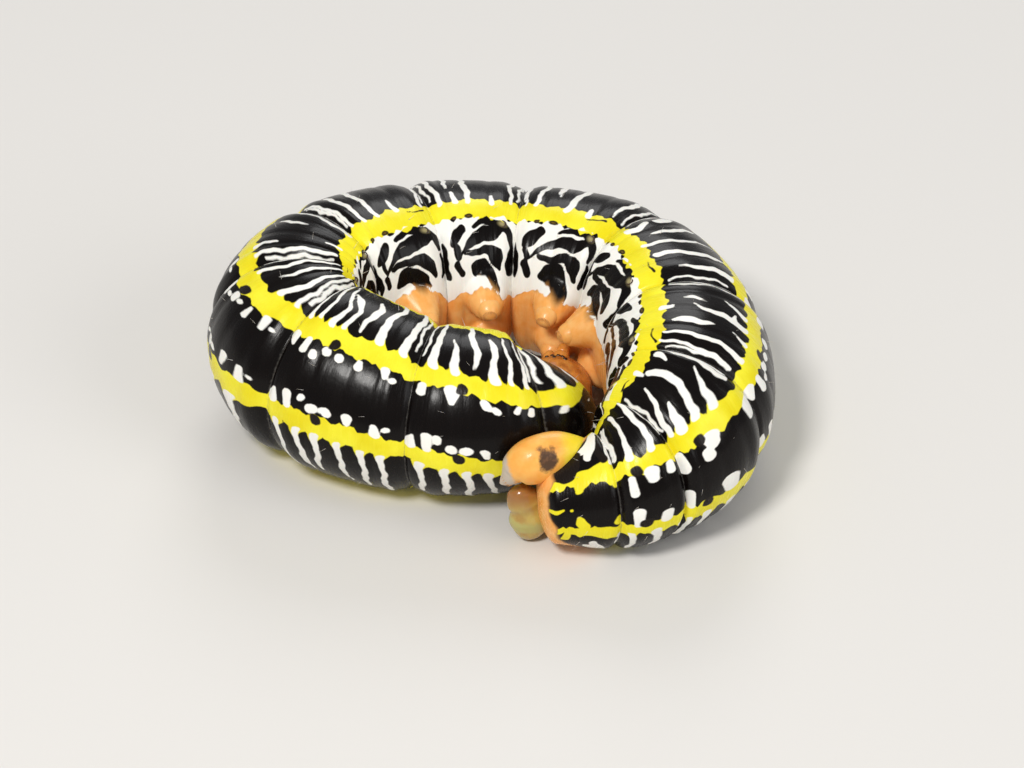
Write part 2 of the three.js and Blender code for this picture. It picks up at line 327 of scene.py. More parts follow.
# %% Bars of the zebra zone
# White bars below the back stripe, by segment from the tail. A bar is a row of points: place
# along the segment, degrees from the middle of the back, and half width in millimetres.
BARS = {
    1: [[(0.72, 36, 0.10), (0.76, 56, 0.08), (0.84, 76, 0.09), (0.86, 84, 0.06)],
        [(0.36, 36, 0.12), (0.34, 52, 0.08), (0.42, 66, 0.07), (0.40, 84, 0.10)],
        [(0.06, 40, 0.04), (0.05, 60, 0.05), (0.08, 80, 0.03)]],
    2: [[(0.90, 40, 0.05), (0.92, 60, 0.07), (0.93, 86, 0.05)],
        [(0.66, 36, 0.11), (0.72, 48, 0.07), (0.80, 60, 0.02)],
        [(0.78, 79, 0.05), (0.80, 84, 0.10), (0.78, 88, 0.05)],
        [(0.46, 36, 0.13), (0.52, 48, 0.09), (0.56, 62, 0.10), (0.58, 74, 0.13), (0.50, 82, 0.11)],
        [(0.42, 83, 0.06), (0.40, 90, 0.10)], [(0.26, 36, 0.17), (0.30, 48, 0.12), (0.34, 57, 0.03)],
        [(0.08, 36, 0.10), (0.14, 52, 0.08), (0.22, 66, 0.07), (0.30, 76, 0.04)]],
    3: [[(0.90, 36, 0.03), (0.88, 52, 0.06), (0.92, 60, 0.05), (0.89, 76, 0.09), (0.92, 84, 0.06)],
        [(0.64, 36, 0.09), (0.70, 46, 0.06), (0.73, 51, 0.02)],
        [(0.68, 64, 0.02), (0.69, 71, 0.07), (0.69, 78, 0.03)],
        [(0.50, 36, 0.11), (0.54, 46, 0.14), (0.56, 62, 0.07), (0.60, 72, 0.03)],
        [(0.54, 46, 0.10), (0.61, 44, 0.03)],
        [(0.34, 36, 0.08), (0.40, 47, 0.02)],
        [(0.40, 58, 0.04), (0.38, 66, 0.10), (0.37, 76, 0.13), (0.36, 82, 0.06)],
        [(0.15, 36, 0.11), (0.18, 52, 0.09), (0.21, 70, 0.09), (0.20, 86, 0.06)],
        [(0.04, 40, 0.05), (0.06, 58, 0.06), (0.09, 88, 0.05)], [(0.56, 83, 0.07), (0.55, 90, 0.12)]],
    4: [[(0.14, 36, 0.10), (0.16, 55, 0.08), (0.15, 76, 0.03)],
        [(0.36, 37, 0.03), (0.34, 48, 0.07), (0.36, 70, 0.10), (0.38, 86, 0.11)],
        [(0.55, 38, 0.03), (0.53, 60, 0.07), (0.55, 90, 0.09)],
        [(0.70, 44, 0.05), (0.70, 55, 0.08), (0.68, 72, 0.06), (0.66, 80, 0.02)],
        [(0.85, 52, 0.06), (0.86, 60, 0.14), (0.84, 68, 0.08)],
        [(0.86, 74, 0.08), (0.82, 82, 0.14), (0.84, 90, 0.16)]],
    5: [[(0.52, 36, 0.09), (0.50, 62, 0.09), (0.54, 90, 0.11)],
        [(0.66, 46, 0.03), (0.68, 60, 0.09), (0.66, 74, 0.04)],
        [(0.82, 36, 0.09), (0.80, 58, 0.08), (0.84, 90, 0.08)], [(0.94, 38, 0.04), (0.93, 88, 0.04)],
        [(0.15, 36, 0.07), (0.12, 60, 0.07), (0.14, 84, 0.04)], [(0.36, 84, 0.06), (0.34, 91, 0.12)]],
    6: [[(0.54, 36, 0.10), (0.56, 52, 0.07), (0.54, 70, 0.10), (0.56, 90, 0.09)],
        [(0.72, 40, 0.04), (0.72, 58, 0.08), (0.74, 74, 0.04)], [(0.72, 80, 0.05), (0.70, 90, 0.13)],
        [(0.88, 36, 0.08), (0.88, 62, 0.07), (0.86, 90, 0.08)],
        [(0.10, 38, 0.05), (0.12, 66, 0.07), (0.10, 90, 0.06)],
        [(0.30, 84, 0.05), (0.28, 91, 0.10)]],
    7: [[(0.60, 36, 0.08), (0.62, 60, 0.08), (0.60, 90, 0.10)],
        [(0.78, 36, 0.07), (0.80, 60, 0.09), (0.76, 88, 0.07)],
        [(0.93, 38, 0.05), (0.93, 88, 0.05)], [(0.40, 78, 0.05), (0.38, 90, 0.12)],
        [(0.08, 38, 0.07), (0.06, 62, 0.06), (0.09, 88, 0.06)], [(0.20, 36, 0.07), (0.22, 48, 0.03)]],
    8: [[(0.16, 36, 0.09), (0.14, 56, 0.08), (0.16, 74, 0.10), (0.14, 90, 0.13)],
        [(0.34, 44, 0.04), (0.34, 56, 0.08), (0.36, 66, 0.03)],
        [(0.88, 36, 0.06), (0.90, 60, 0.08), (0.88, 86, 0.08)], [(0.62, 80, 0.06), (0.62, 90, 0.12)],
        [(0.74, 36, 0.08), (0.72, 50, 0.04)]],
    9: [[(0.90, 36, 0.06), (0.90, 60, 0.06), (0.88, 86, 0.05)],
        [(0.68, 36, 0.10), (0.74, 52, 0.11), (0.74, 66, 0.10), (0.72, 86, 0.08)],
        [(0.46, 44, 0.03), (0.46, 56, 0.07), (0.42, 74, 0.09), (0.42, 86, 0.06)],
        [(0.24, 36, 0.06), (0.26, 54, 0.06), (0.22, 70, 0.08), (0.24, 86, 0.05)],
        [(0.10, 40, 0.04), (0.12, 60, 0.05), (0.10, 86, 0.04)]],
    10: [[(0.05, 36, 0.10), (0.04, 50, 0.08), (0.03, 70, 0.10), (0.04, 86, 0.08)],
         [(0.16, 36, 0.08), (0.16, 52, 0.06), (0.12, 66, 0.08), (0.10, 84, 0.05)],
         [(0.27, 36, 0.09), (0.30, 50, 0.07), (0.25, 62, 0.06), (0.20, 74, 0.03)],
         [(0.37, 36, 0.07), (0.40, 50, 0.08), (0.35, 62, 0.10), (0.28, 66, 0.05)],
         [(0.51, 38, 0.05), (0.50, 50, 0.09), (0.54, 64, 0.11), (0.50, 70, 0.06)],
         [(0.67, 36, 0.13), (0.66, 54, 0.10), (0.70, 72, 0.08), (0.64, 86, 0.05)],
         [(0.88, 36, 0.15), (0.88, 52, 0.12), (0.90, 70, 0.09), (0.88, 88, 0.07)]],
    11: [[(0.14, 36, 0.15), (0.12, 52, 0.11), (0.14, 68, 0.09), (0.12, 82, 0.05)],
         [(0.34, 36, 0.12), (0.32, 50, 0.08), (0.28, 62, 0.03)],
         [(0.50, 42, 0.04), (0.48, 56, 0.10), (0.44, 70, 0.10), (0.40, 82, 0.06)],
         [(0.67, 36, 0.15), (0.64, 48, 0.08), (0.66, 62, 0.10), (0.62, 72, 0.05)],
         [(0.81, 36, 0.08), (0.80, 56, 0.06), (0.76, 78, 0.04)],
         [(0.93, 36, 0.06), (0.92, 56, 0.05), (0.88, 80, 0.03)]],
    12: [[(0.16, 36, 0.06), (0.16, 84, 0.04)], [(0.38, 36, 0.05), (0.40, 80, 0.05)],
         [(0.60, 36, 0.06), (0.58, 82, 0.04)],
         [(0.82, 36, 0.05), (0.80, 78, 0.04)]],
}
print("bars", sum(len(lines) for lines in BARS.values()))

# %% The net and the drops
# Black strokes of the net: place along the segment, share of the way from the side stripe to
# the orange, and half width
NET = [
    [(0.56, 0.12, 0.05), (0.42, 0.03, 0.10), (0.28, 0.05, 0.12), (0.16, 0.13, 0.13), (0.07, 0.26, 0.11),
     (0.04, 0.48, 0.06)],
    [(0.16, 0.18, 0.12), (0.30, 0.27, 0.20), (0.48, 0.31, 0.18), (0.64, 0.43, 0.11), (0.76, 0.58, 0.05),
     (0.84, 0.70, 0.03)],
    [(0.72, 0.16, 0.11), (0.80, 0.30, 0.17), (0.88, 0.42, 0.08)], [(0.85, 0.49, 0.08), (0.83, 0.64, 0.08)],
    [(0.70, 0.60, 0.07), (0.52, 0.60, 0.09), (0.38, 0.58, 0.13), (0.26, 0.67, 0.20), (0.20, 0.82, 0.11),
     (0.18, 0.92, 0.05)],
    [(0.64, 0.92, 0.10), (0.56, 0.84, 0.17), (0.45, 0.86, 0.20), (0.36, 0.96, 0.15), (0.28, 1.04, 0.08),
     (0.24, 1.09, 0.04)],
    [(0.84, 0.75, 0.09), (0.80, 0.93, 0.08)],
    [(0.985, 0.34, 0.04), (0.985, 0.60, 0.10), (0.96, 0.90, 0.08), (0.965, 1.0, 0.04)],
    [(0.03, 0.56, 0.05), (0.03, 0.80, 0.11), (0.06, 0.98, 0.07)],
]
# Drops at the edge of the black back: place, near and far end in degrees, half widths there
DROPS = [
    (0.03, 21, 15.0, 0.19, 0.05), (0.17, 21, 14.0, 0.10, 0.13), (0.25, 14.6, 13.4, 0.09, 0.11),
    (0.345, 18.4, 17.4, 0.15, 0.14), (0.445, 17.6, 16.6, 0.13, 0.13), (0.60, 19.5, 16.2, 0.09, 0.14),
    (0.79, 20.5, 16.4, 0.14, 0.09), (0.865, 16.4, 15.6, 0.08, 0.09),
]
# Drops of the segments that differ from the list above, by segment and side
OTHER_DROPS = {
    (1, 1): [(0.26, 18.5, 6.0, 0.11, 0.13), (0.56, 20, 14.5, 0.19, 0.13), (0.84, 20, 15, 0.09, 0.10)],
    (1, -1): [(0.30, 25, 12.0, 0.10, 0.14), (0.66, 24, 18, 0.11, 0.11)],
    (2, 1): [(0.06, 20.5, 11.0, 0.13, 0.22), (0.50, 21, 17, 0.19, 0.15), (0.42, 14.0, 11, 0.15, 0.17),
             (0.92, 21, 14, 0.15, 0.08)],
    (2, -1): [(0.10, 22, 11.5, 0.15, 0.18), (0.60, 21, 14, 0.14, 0.19)],
    (11, 1): [(0.09, 20, 15.8, 0.12, 0.13), (0.32, 21, 13.0, 0.21, 0.07), (0.57, 18.6, 16.4, 0.13, 0.14),
              (0.66, 15.6, 14.6, 0.11, 0.12), (0.83, 20, 16.6, 0.07, 0.08), (0.93, 20, 16.0, 0.06, 0.08)],
    (12, 1): [(0.12, 20, 16.5, 0.07, 0.08), (0.36, 20, 17.0, 0.05, 0.07)],
}
# Spots of the side stripe: place, degrees, half length, half height and turn
SPOTS = ((0.62, 104.0, 0.17, 0.10, 0.1), (0.82, 105.0, 0.11, 0.085, 0.4))
# Marks of the last segment, by name and side (0 is both): bars round a large black spot
TAIL_MARKS = [
    ("white", 0, [(0.50, 62, 0.12), (0.72, 72, 0.22), (0.86, 86, 0.20)]),
    ("white", 0, [(0.62, 52, 0.10), (0.68, 64, 0.18)]),
    ("white", 0, [(0.98, 40, 0.07), (0.99, 62, 0.06), (0.98, 84, 0.04)]),
    ("yellow", 0, [(0.10, 36, 0.10), (0.5, 32, 0.16), (0.9, 36, 0.28)]),
    ("yellow", 0, [(0.10, 50, 0.14), (0.13, 40, 0.12)]), ("yellow", 0, [(0.42, 23, 0.20), (0.40, 16.5, 0.12)]),
    ("yellow", 0, [(0.96, 21, 0.10), (0.98, 16, 0.07)]),
    ("yellow", -1, [(-0.34, 5, 0.05), (-0.12, 7, 0.09), (0.08, 6, 0.04)]),
    ("yellow", -1, [(0.24, 6, 0.05), (0.25, 6, 0.05)]),
    ("dark", 1, [(0.16, 40, 0.33), (0.24, 49, 0.38), (0.36, 58, 0.24)]),
    ("dark", 0, [(0.88, 46, 0.13), (0.82, 60, 0.08), (0.90, 82, 0.06)]),
]
print("net strokes", len(NET), "drops", len(DROPS), "tail marks", len(TAIL_MARKS))


# %% Strokes
def through(points, count):
    """Even samples of a smooth curve through rows of numbers."""
    p = np.array(points, float)
    q = np.linspace(0, len(p) - 1, count)
    i = np.clip(np.floor(q).astype(int), 0, len(p) - 2)
    ahead, behind = p[np.minimum(i + 2, len(p) - 1)], p[np.maximum(i - 1, 0)]
    return cubic((q - i)[:, None], p[i], p[i + 1], (p[i + 1] - behind) / 2, (ahead - p[i]) / 2)


def capsule(px, py, x0, y0, w0, x1, y1, w1):
    """Distance inside a stroke with round ends, its half width going from w0 to w1."""
    dx, dy = x1 - x0, y1 - y0
    t = np.clip(((px - x0) * dx + (py - y0) * dy) / (dx * dx + dy * dy + 1e-9), 0, 1)
    return w0 + (w1 - w0) * t - np.hypot(px - x0 - t * dx, py - y0 - t * dy)


def stroke(x, y, field, line):
    """Lays a chain of strokes on a field; a point of the line is x, y and half width."""
    if len(line) > 2:       # round the corners with a curve through the points
        line = through(line, 4 * (len(line) - 1) + 1)
    for (ax, ay, aw), (bx, by, bw) in zip(line, line[1:]):
        wide = max(aw, bw) - BLANK
        near = ((x > min(ax, bx) - wide) & (x < max(ax, bx) + wide)
                & (y > min(ay, by) - wide) & (y < max(ay, by) + wide))
        if near.any():
            field[near] = np.maximum(field[near], capsule(x[near], y[near], ax, ay, aw, bx, by, bw))


def oval(px, py, x, y, a, b, turn=0.0):
    c, s = math.cos(turn), math.sin(turn)
    u, v = ((px - x) * c + (py - y) * s) / a, (-(px - x) * s + (py - y) * c) / b
    return (1 - np.hypot(u, v)) * min(a, b)


# %% [markdown]
# One side of one segment is drawn at a time. Lengths are in millimetres along the body (x) and
# round it (y), so the marks keep their shape where the segments differ. Each side draws its own
# small changes from a fixed seed, because no two segments of the real animal carry the same bars.

# %% One side of one segment
class Side:
    """The places of a side's points, and the fields that its marks are drawn on."""

    def __init__(self, i, side, u, degrees):
        self.i, self.side, self.u, self.degrees, self.length = i, side, u, degrees, seg_length[i]
        self.k = k = math.pi / 180 * float(FOLDS[i:i + 2, RADIUS].mean())      # millimetres to a degree
        self.rng = np.random.default_rng(31 * i + (7 if side > 0 else 3))
        self.x, self.y = x, y = u * self.length, degrees * k
        # slightly wavy space, so no edge of a mark is a clean arc
        self.wx = x + 0.030 * np.sin(5.1 * y + i) + 0.012 * np.sin(13 * y + 2 * i)
        self.wy = y + 0.030 * np.sin(6.3 * x + 2 * i) + 0.014 * np.sin(15 * x + i)
        self.top, self.foot = (d - SIDE_STRIPE_RAISED.get(i, 0) * (side > 0) for d in SIDE_STRIPE)
        self.field = {name: np.full_like(x, BLANK) for name in MARK_NAMES}

    def edge(self, name):
        """How far an edge wanders, in millimetres."""
        shift, seed, *waves = EDGES[name]
        rng, x = np.random.default_rng(seed + self.side), self.x + shift * self.i
        return sum(size * np.sin(2 * math.pi * (x / length + rng.random())) for length, size in waves)

    def line(self, name, points):
        """Draws a line whose points are in millimetres."""
        stroke(self.wx, self.wy, self.field[name], points)

    def draw(self, name, points):
        """Draws a line whose points are a share of the segment, degrees and half width."""
        self.line(name, [(u * self.length, d * self.k, w) for u, d, w in points])

    def shaken(self, line, grow=1.0, along_by=0.012, across_by=1.2):
        """A listed line in millimetres, each point moved a little."""
        rng = self.rng
        return [(max(0.0, (u + rng.uniform(-along_by, along_by)) * self.length),
                 (d + rng.uniform(-across_by, across_by)) * self.k,
                 w * grow * rng.uniform(0.85, 1.15)) for u, d, w in line]


# %% Stripes and drops
def draw_stripes(a):
    """The two yellow stripes; on the lower side the back stripe sags at the tail."""
    sag = {0: 9.0 - 4.5 * a.u, 1: 4.5 * (1 - a.u)}.get(a.i, 0.0) * (a.side < 0)
    low, high = ((d + sag) * a.k for d in (BACK_STRIPE if a.i > 0 else TAIL_BACK_STRIPE))
    back = np.minimum(a.y - low + a.edge("back_top"), high - a.y + a.edge("back_foot"))
    flank = np.minimum(a.y - a.top * a.k + a.edge("side_top"), a.foot * a.k - a.y + a.edge("side_foot"))
    a.field["yellow"] = np.maximum(back, flank)


def draw_drops(a):
    """The black back's edge: white drops, and a round black spot that bites into the stripe."""
    drops = OTHER_DROPS.get((a.i, a.side), DROPS if a.i > 0 else [])
    for n, (at, near, far, near_wide, far_wide) in enumerate(drops):
        at += a.rng.uniform(-0.01, 0.01)
        grow = a.rng.uniform(0.85, 1.12) * (min(1.0, a.length / 3.3) if a.i > 2 else 1.0)
        if a.i == 12 and a.side < 0 and n % 2:
            continue
        longer = a.rng.uniform(-0.6, 1.2) if far < 15 else 0
        if a.i in FINE_MARKED and near > 18:
            longer = 3.0
        tip = at + a.rng.uniform(-0.02, 0.02)
        stroke(a.x, a.y, a.field["white"], [(at * a.length, near * a.k, near_wide * grow),
                                            (tip * a.length, (far - longer) * a.k, far_wide * grow)])
    if a.i > 0:
        spot = 0.38 + a.rng.uniform(-0.02, 0.02)
        a.draw("dark", [(spot, 24.4, 0.14), (spot, 22.6, 0.14)])


# %% Bars and teeth
TOOTH_SPACING = 0.56
BAR_TOP = 37.5          # degrees; a bar that starts nearer the back is joined to the yellow stripe


def draw_bars(a):
    """The listed bars of the upper side; yellow runs a little way into a joined bar."""
    for listed in BARS[a.i]:
        line = a.shaken(listed, 0.76 if a.i in FINE_MARKED else 1.0)
        a.line("white", line)
        x, y, wide = line[0]
        if y < BAR_TOP * a.k:
            a.line("yellow", [(x, 33 * a.k, wide + 0.12), (x, BAR_TOP * a.k, wide + 0.01)])
    for at in (0.035, 0.96):      # thin pale lines beside the folds
        a.draw("white", [(at, 42, 0.03), (at + a.rng.uniform(-0.01, 0.01), 62, 0.045), (at, 84, 0.03)])


def draw_teeth(a):
    """Plain curved teeth, as the lower side has them."""
    for at in np.arange(0.3, a.length, TOOTH_SPACING):
        at = (at + a.rng.uniform(-0.07, 0.07)) / a.length
        end, hook = a.rng.uniform(66, 82), a.rng.uniform(0.0, 0.07)
        line = a.shaken([(at, 36, 0.11), (at + 0.01, 48, 0.075), (at + hook / 2, 0.5 * (48 + end), 0.08),
                         (at + hook, end, 0.05)])
        a.line("white", line)
        a.line("yellow", [(line[0][0], 34 * a.k, 0.22), (line[0][0], 39 * a.k, 0.10)])


# %% Net, orange and spots
def draw_net(a, orange_from):
    """White ground with black strokes between the side stripe and the orange."""
    orange_edge = orange_from + 9.0 * np.abs(2 * a.u - 1) ** 3.5
    if 4 <= a.i <= 7:      # it rises over a proleg
        orange_edge = orange_edge - 9.0 * np.exp(-(((a.u - 0.45) / 0.26) ** 2))
    reach = orange_edge.min() - a.foot if len(orange_edge) else 1.0
    net = np.minimum(a.y - (a.foot - 1.2) * a.k + a.edge("side_foot"),
                     (orange_edge + 1.5) * a.k - a.y + 0.5 * a.edge("back_foot"))
    blots = np.full_like(a.x, BLANK)
    for listed in NET:
        grow = 1.5 * a.rng.uniform(0.88, 1.15)
        stroke(a.wx, a.wy, blots, a.shaken([(u, a.foot + v * reach, w) for u, v, w in listed], grow, 0.02, 1.0))
    a.field["white"] = np.maximum(a.field["white"], np.minimum(net, -blots))
    # the black strokes reach a little into the orange
    a.field["orange"] = np.minimum(a.y - orange_edge * a.k + a.edge("orange"), -blots)


def draw_spots(a):
    """Spots and a thin dash of the side stripe, and a painted highlight, a soft glint, at the breathing hole on its
    lower edge.
    """
    for at, degrees, long, high, turn in SPOTS:
        place = ((at + a.rng.uniform(-0.04, 0.04)) * a.length, (degrees + a.rng.uniform(-1, 1)) * a.k)
        for name, wide, deep in (("dark", 1, 1), ("brown", 0.45, 0.35)):
            a.field[name] = np.maximum(a.field[name], oval(a.wx, a.wy, *place, long * wide, high * deep, turn))
    if 1 < a.i < 12 and a.rng.random() < 0.75:
        at = a.rng.uniform(0.22, 0.34)
        a.line("dark", a.shaken([(at, 93, 0.035), (at - 0.08, 93.5, 0.03), (at - 0.16, 91, 0.05)]))
    if 2 <= a.i <= 9 or a.i == 12:
        # a soft painted highlight: a brownish glint at the breathing hole
        a.field["hole_glint"] = np.maximum(BLANK, oval(a.x, a.y, HOLE_AT[0] * a.length, HOLE_AT[1] * a.k, 0.15, 0.10, -0.2))


# %% The last segment and its plate
def draw_tail(a):
    """The last segment's own marks, in place of bars or teeth."""
    for name, side, points in TAIL_MARKS:
        if side in (0, a.side):
            a.draw(name, points)


def end_plate(a):
    """The plate's hind edge runs forward on the flanks, and orange lies behind it."""
    edge = ((-0.30 + 0.24 * ease(8, 40, a.degrees) + 0.84 * ease(50, 96, a.degrees)) * a.length
            + 0.03 * np.sin(0.25 * a.degrees))
    a.field["orange"] = np.maximum(a.field["orange"], edge - a.x)
    for name in ("yellow", "white", "dark"):
        a.field[name] = np.minimum(a.field[name], a.x - edge)


def mark_segment(i, here, u, angle, into, orange_from):
    """Draws one segment's marks on the points that are here, and puts them into the fields."""
    for side in (1, -1):
        mine = here & ((angle >= 0) if side > 0 else (angle < 0))
        a = Side(i, side, u[mine], np.degrees(np.abs(angle[mine])))
        draw_stripes(a)
        draw_drops(a)
        if i == 0:
            draw_tail(a)
        elif side > 0:
            draw_bars(a)
        else:
            draw_teeth(a)
        draw_net(a, orange_from[side])
        draw_spots(a)
        if i == 0:
            end_plate(a)
        for name, values in a.field.items():
            into[name][mine] = values


# %% [markdown]
# The skin is a grid of rings, finer near the folds. Each ring is eased inwards at a fold, and
# three shallower creases cross each segment as on the real animal. The prolegs of the middle
# segments are raised from the same skin, so that no seam shows at their roots.

# %% The grid of the skin
ROWS_PER_SEGMENT, AROUND = 52, 360
FOLD_DEPTH = 0.06                                         # share of the radius
CREASES = ((0.3, 0.008), (0.55, 0.007), (0.78, 0.009))    # place on the segment, and depth
t = np.arange(ROWS_PER_SEGMENT) / ROWS_PER_SEGMENT
u_row = t - 0.4 * np.sin(2 * math.pi * t) / (2 * math.pi)
s_rows = np.concatenate([i + u_row for i in range(LAST)] + [[float(LAST)]])
ang = -math.pi + 2 * math.pi * np.arange(AROUND) / AROUND
S, A = np.meshgrid(s_rows, ang, indexing="ij")
seg = np.clip(np.floor(S).astype(int), 0, LAST - 1)
U = S - seg
fold_far = np.minimum(np.where(seg == 0, 9.0, U), 1 - U) * seg_length[seg]
belly = ease(100, 160, np.degrees(np.abs(A)))
size = 1 - FOLD_DEPTH * (1 - ease(0, 0.2, np.where(seg == 0, 1, U)) * ease(0, 0.16, 1 - U))
size -= 0.035 * np.exp(-((fold_far / 0.07) ** 2)) + 0.07 * belly * np.exp(-((fold_far / 0.22) ** 2))
for at, deep in CREASES:
    size -= (deep + 0.008 * belly) * np.exp(-(((U - at) * seg_length[seg] / 0.09) ** 2)) * (seg > 0)
P = skin_point(S, A, size)
print("rings", len(s_rows), "quads", (len(s_rows) - 1) * AROUND)

# %% Raise the prolegs
PROLEG_ANGLE = 162.0
proleg_tips = {}
for k in (3, 4, 5, 6):      # the two rear ones of the right side stand out less
    for name, sign, high in (("left", 1, 0.8), ("right", -1, 0.8 if k < 5 else 0.4)):
        s0, a0 = np.array(10 - k + 0.45), np.array(math.radians(PROLEG_ANGLE) * sign)
        f = body_frame(s0)
        away = -f["out"] + np.array([0, 0, -0.2])
        away /= np.linalg.norm(away)
        root = skin_point(s0, a0)
        rel = P - root
        d = np.linalg.norm(rel - (rel @ away)[..., None] * away, axis=-1)
        near = (np.linalg.norm(rel, axis=-1) < 1.6) & (np.abs(np.degrees(A)) > 110)
        rise = high * (1 - ease(0.28, 0.80, d)) + 0.04 * np.exp(-(((d - 0.62) / 0.07) ** 2))
        rise = rise * (1 - ease(0.36, 0.49, np.abs(S - s0)))
        P = P + np.where(near, rise, 0)[..., None] * away
        proleg_tips[f"{k}_{name}"] = (root + away * high, away)
P[..., 2] = np.maximum(P[..., 2], 0.0)
print("prolegs", len(proleg_tips), "lowest skin, mm", round(float(P[..., 2].min()), 3))

# %% Work out the marks on every point
fields = {name: np.zeros_like(S) for name in MARK_NAMES}
for i in range(LAST):
    limit = ORANGE_FROM + ORANGE_DROPS * math.exp(-(((i + 0.5 - 6) / 2.2) ** 2))
    lower_limit = limit - (ORANGE_LOWER_SIDE if 3 <= i <= 8 else 0)
    mark_segment(i, seg == i, U, A, fields, {1: limit, -1: lower_limit})
fields["fold"] = np.where(seg == 0, np.minimum(9, (1 - U) * seg_length[0]), fold_far)
print({k: round(float((v > 0).mean()), 3) for k, v in fields.items()})

# %% [markdown]
# The blunt end behind the first fold is a dome of rings that shrink as they step back. Its marks
# go on from those of the last segment, so each ring's place is measured back along the dome.

# %% The blunt end
CAP_DEEP = 0.52
turn = np.radians(np.linspace(74, 7, 12))
cap_size, cap_slip = np.cos(turn), -CAP_DEEP * np.sin(turn)
steps = np.hypot(np.diff(np.append(cap_size, 1.0)) * FOLDS[0, RADIUS], np.diff(np.append(cap_slip, 0.0)))
behind = -np.cumsum(steps[::-1])[::-1] / seg_length[0]
cap_u, cap_a = np.meshgrid(behind, ang, indexing="ij")
cap_fields = {name: np.zeros_like(cap_u) for name in MARK_NAMES}
mark_segment(0, np.ones_like(cap_u, bool), cap_u, cap_a, cap_fields, {1: ORANGE_FROM, -1: ORANGE_FROM})
cap_fields["fold"] = np.full_like(cap_u, 1.0)
print("rings of the blunt end", len(turn), "deep, mm", CAP_DEEP)

# %% [markdown]
# The skin's finish. The black is smooth with a soft sheen, the pale marks are a little softer,
# and the orange underside lets some light in. Fine wrinkles run parallel to the folds, so they
# come from a noise that is stretched in the skin's own map.

# %% The skin's material
def skin_finish():
    m, tree, b = new_material("Larva skin", 0.3, 0.13, 0.06, 0.06)
    wob = spread(tree, noise(tree, 5200, 2), -0.018, 0.018)
    uv = node(tree, "ShaderNodeUVMap", uv_map="SkinMap").outputs["UV"]
    stretch = node(tree, "ShaderNodeMapping")
    tree.links.new(uv, stretch.inputs["Vector"])
    stretch.inputs["Scale"].default_value = (430, 26, 1)
    wrinkle = noise(tree, 1.0, 3, stretch.outputs["Vector"], 0.6)
    tone = noise(tree, 900, 3)
    grain = noise(tree, 9000, 2)
    black = lay_over(tree, (0.0022, 0.0014, 0.0012), (0.0055, 0.0036, 0.003), tone)
    orange = lay_over(tree, (0.93, 0.42, 0.10), (0.88, 0.33, 0.06), tone)
    blotch = spread(tree, noise(tree, 2600, 3), -0.6, 1.4)
    orange = lay_over(tree, orange, (0.96, 0.55, 0.20), blotch)
    yellow = lay_over(tree, (0.79, 0.66, 0.009), (0.93, 0.86, 0.045), spread(tree, tone, -0.5, 1.5))
    white = lay_over(tree, (0.93, 0.92, 0.88), (0.88, 0.86, 0.78), tone)
    colour = lay_over(tree, black, orange, mark(tree, "orange", wob, 0.13))
    colour = lay_over(tree, colour, yellow, mark(tree, "yellow", wob, 0.022))
    colour = lay_over(tree, colour, white, mark(tree, "white", wob, 0.02))
    colour = lay_over(tree, colour, (0.012, 0.008, 0.006), mark(tree, "dark", wob, 0.022))
    colour = lay_over(tree, colour, (0.20, 0.12, 0.02), mark(tree, "brown", None, 0.04))
    # painted highlight: a soft brownish glint over each breathing hole
    colour = lay_over(tree, colour, (0.50, 0.42, 0.20), maths(tree, "MULTIPLY", mark(tree, "hole_glint", None, 0.09), 0.75))
    # a grey grainy line painted along each fold, where the skin is drawn in: a painted highlight on the black skin
    # and painted shade on the yellow, white and orange
    painted_fold_line = maths(tree, "SUBTRACT", 0.035, node(tree, "ShaderNodeAttribute", attribute_name="fold").outputs["Fac"])
    painted_fold_line = maths(tree, "ADD", maths(tree, "MULTIPLY", painted_fold_line, 14.0), spread(tree, grain, -0.65, 0.28))
    painted_fold_line = node_clamp(tree, painted_fold_line)
    colour = lay_over(tree, colour, (0.17, 0.155, 0.135), painted_fold_line)
    tree.links.new(colour, b.inputs["Base Color"])
    rough = spread(tree, wrinkle, 0.17, 0.36)
    tree.links.new(rough, b.inputs["Roughness"])
    bump = node(tree, "ShaderNodeBump", Strength=0.26, Distance=0.00004)
    height = maths(tree, "MULTIPLY_ADD", wrinkle, 1.0, maths(tree, "MULTIPLY", grain, 0.25))
    tree.links.new(height, bump.inputs["Height"])
    tree.links.new(bump.outputs["Normal"], b.inputs["Normal"])
    return m


skin_mat = skin_finish()
print(skin_mat.name, len(skin_mat.node_tree.nodes), "nodes")

# %% [markdown]
# The skin is built in three pieces, because one mesh would pass the limit of triangles. Each
# piece ends on a fold, where its last ring turns in under the next piece, so no gap shows.

# %% Build the skin
TURNED_IN = (0.93, 0.5)           # sizes of the rings that close an end at a fold
NECK_END = (0.7, 0.32)            # size of the last ring of the neck, and how far ahead it lies


def shrunk(ring, share):
    return ring.mean(0) + (ring - ring.mean(0)) * share


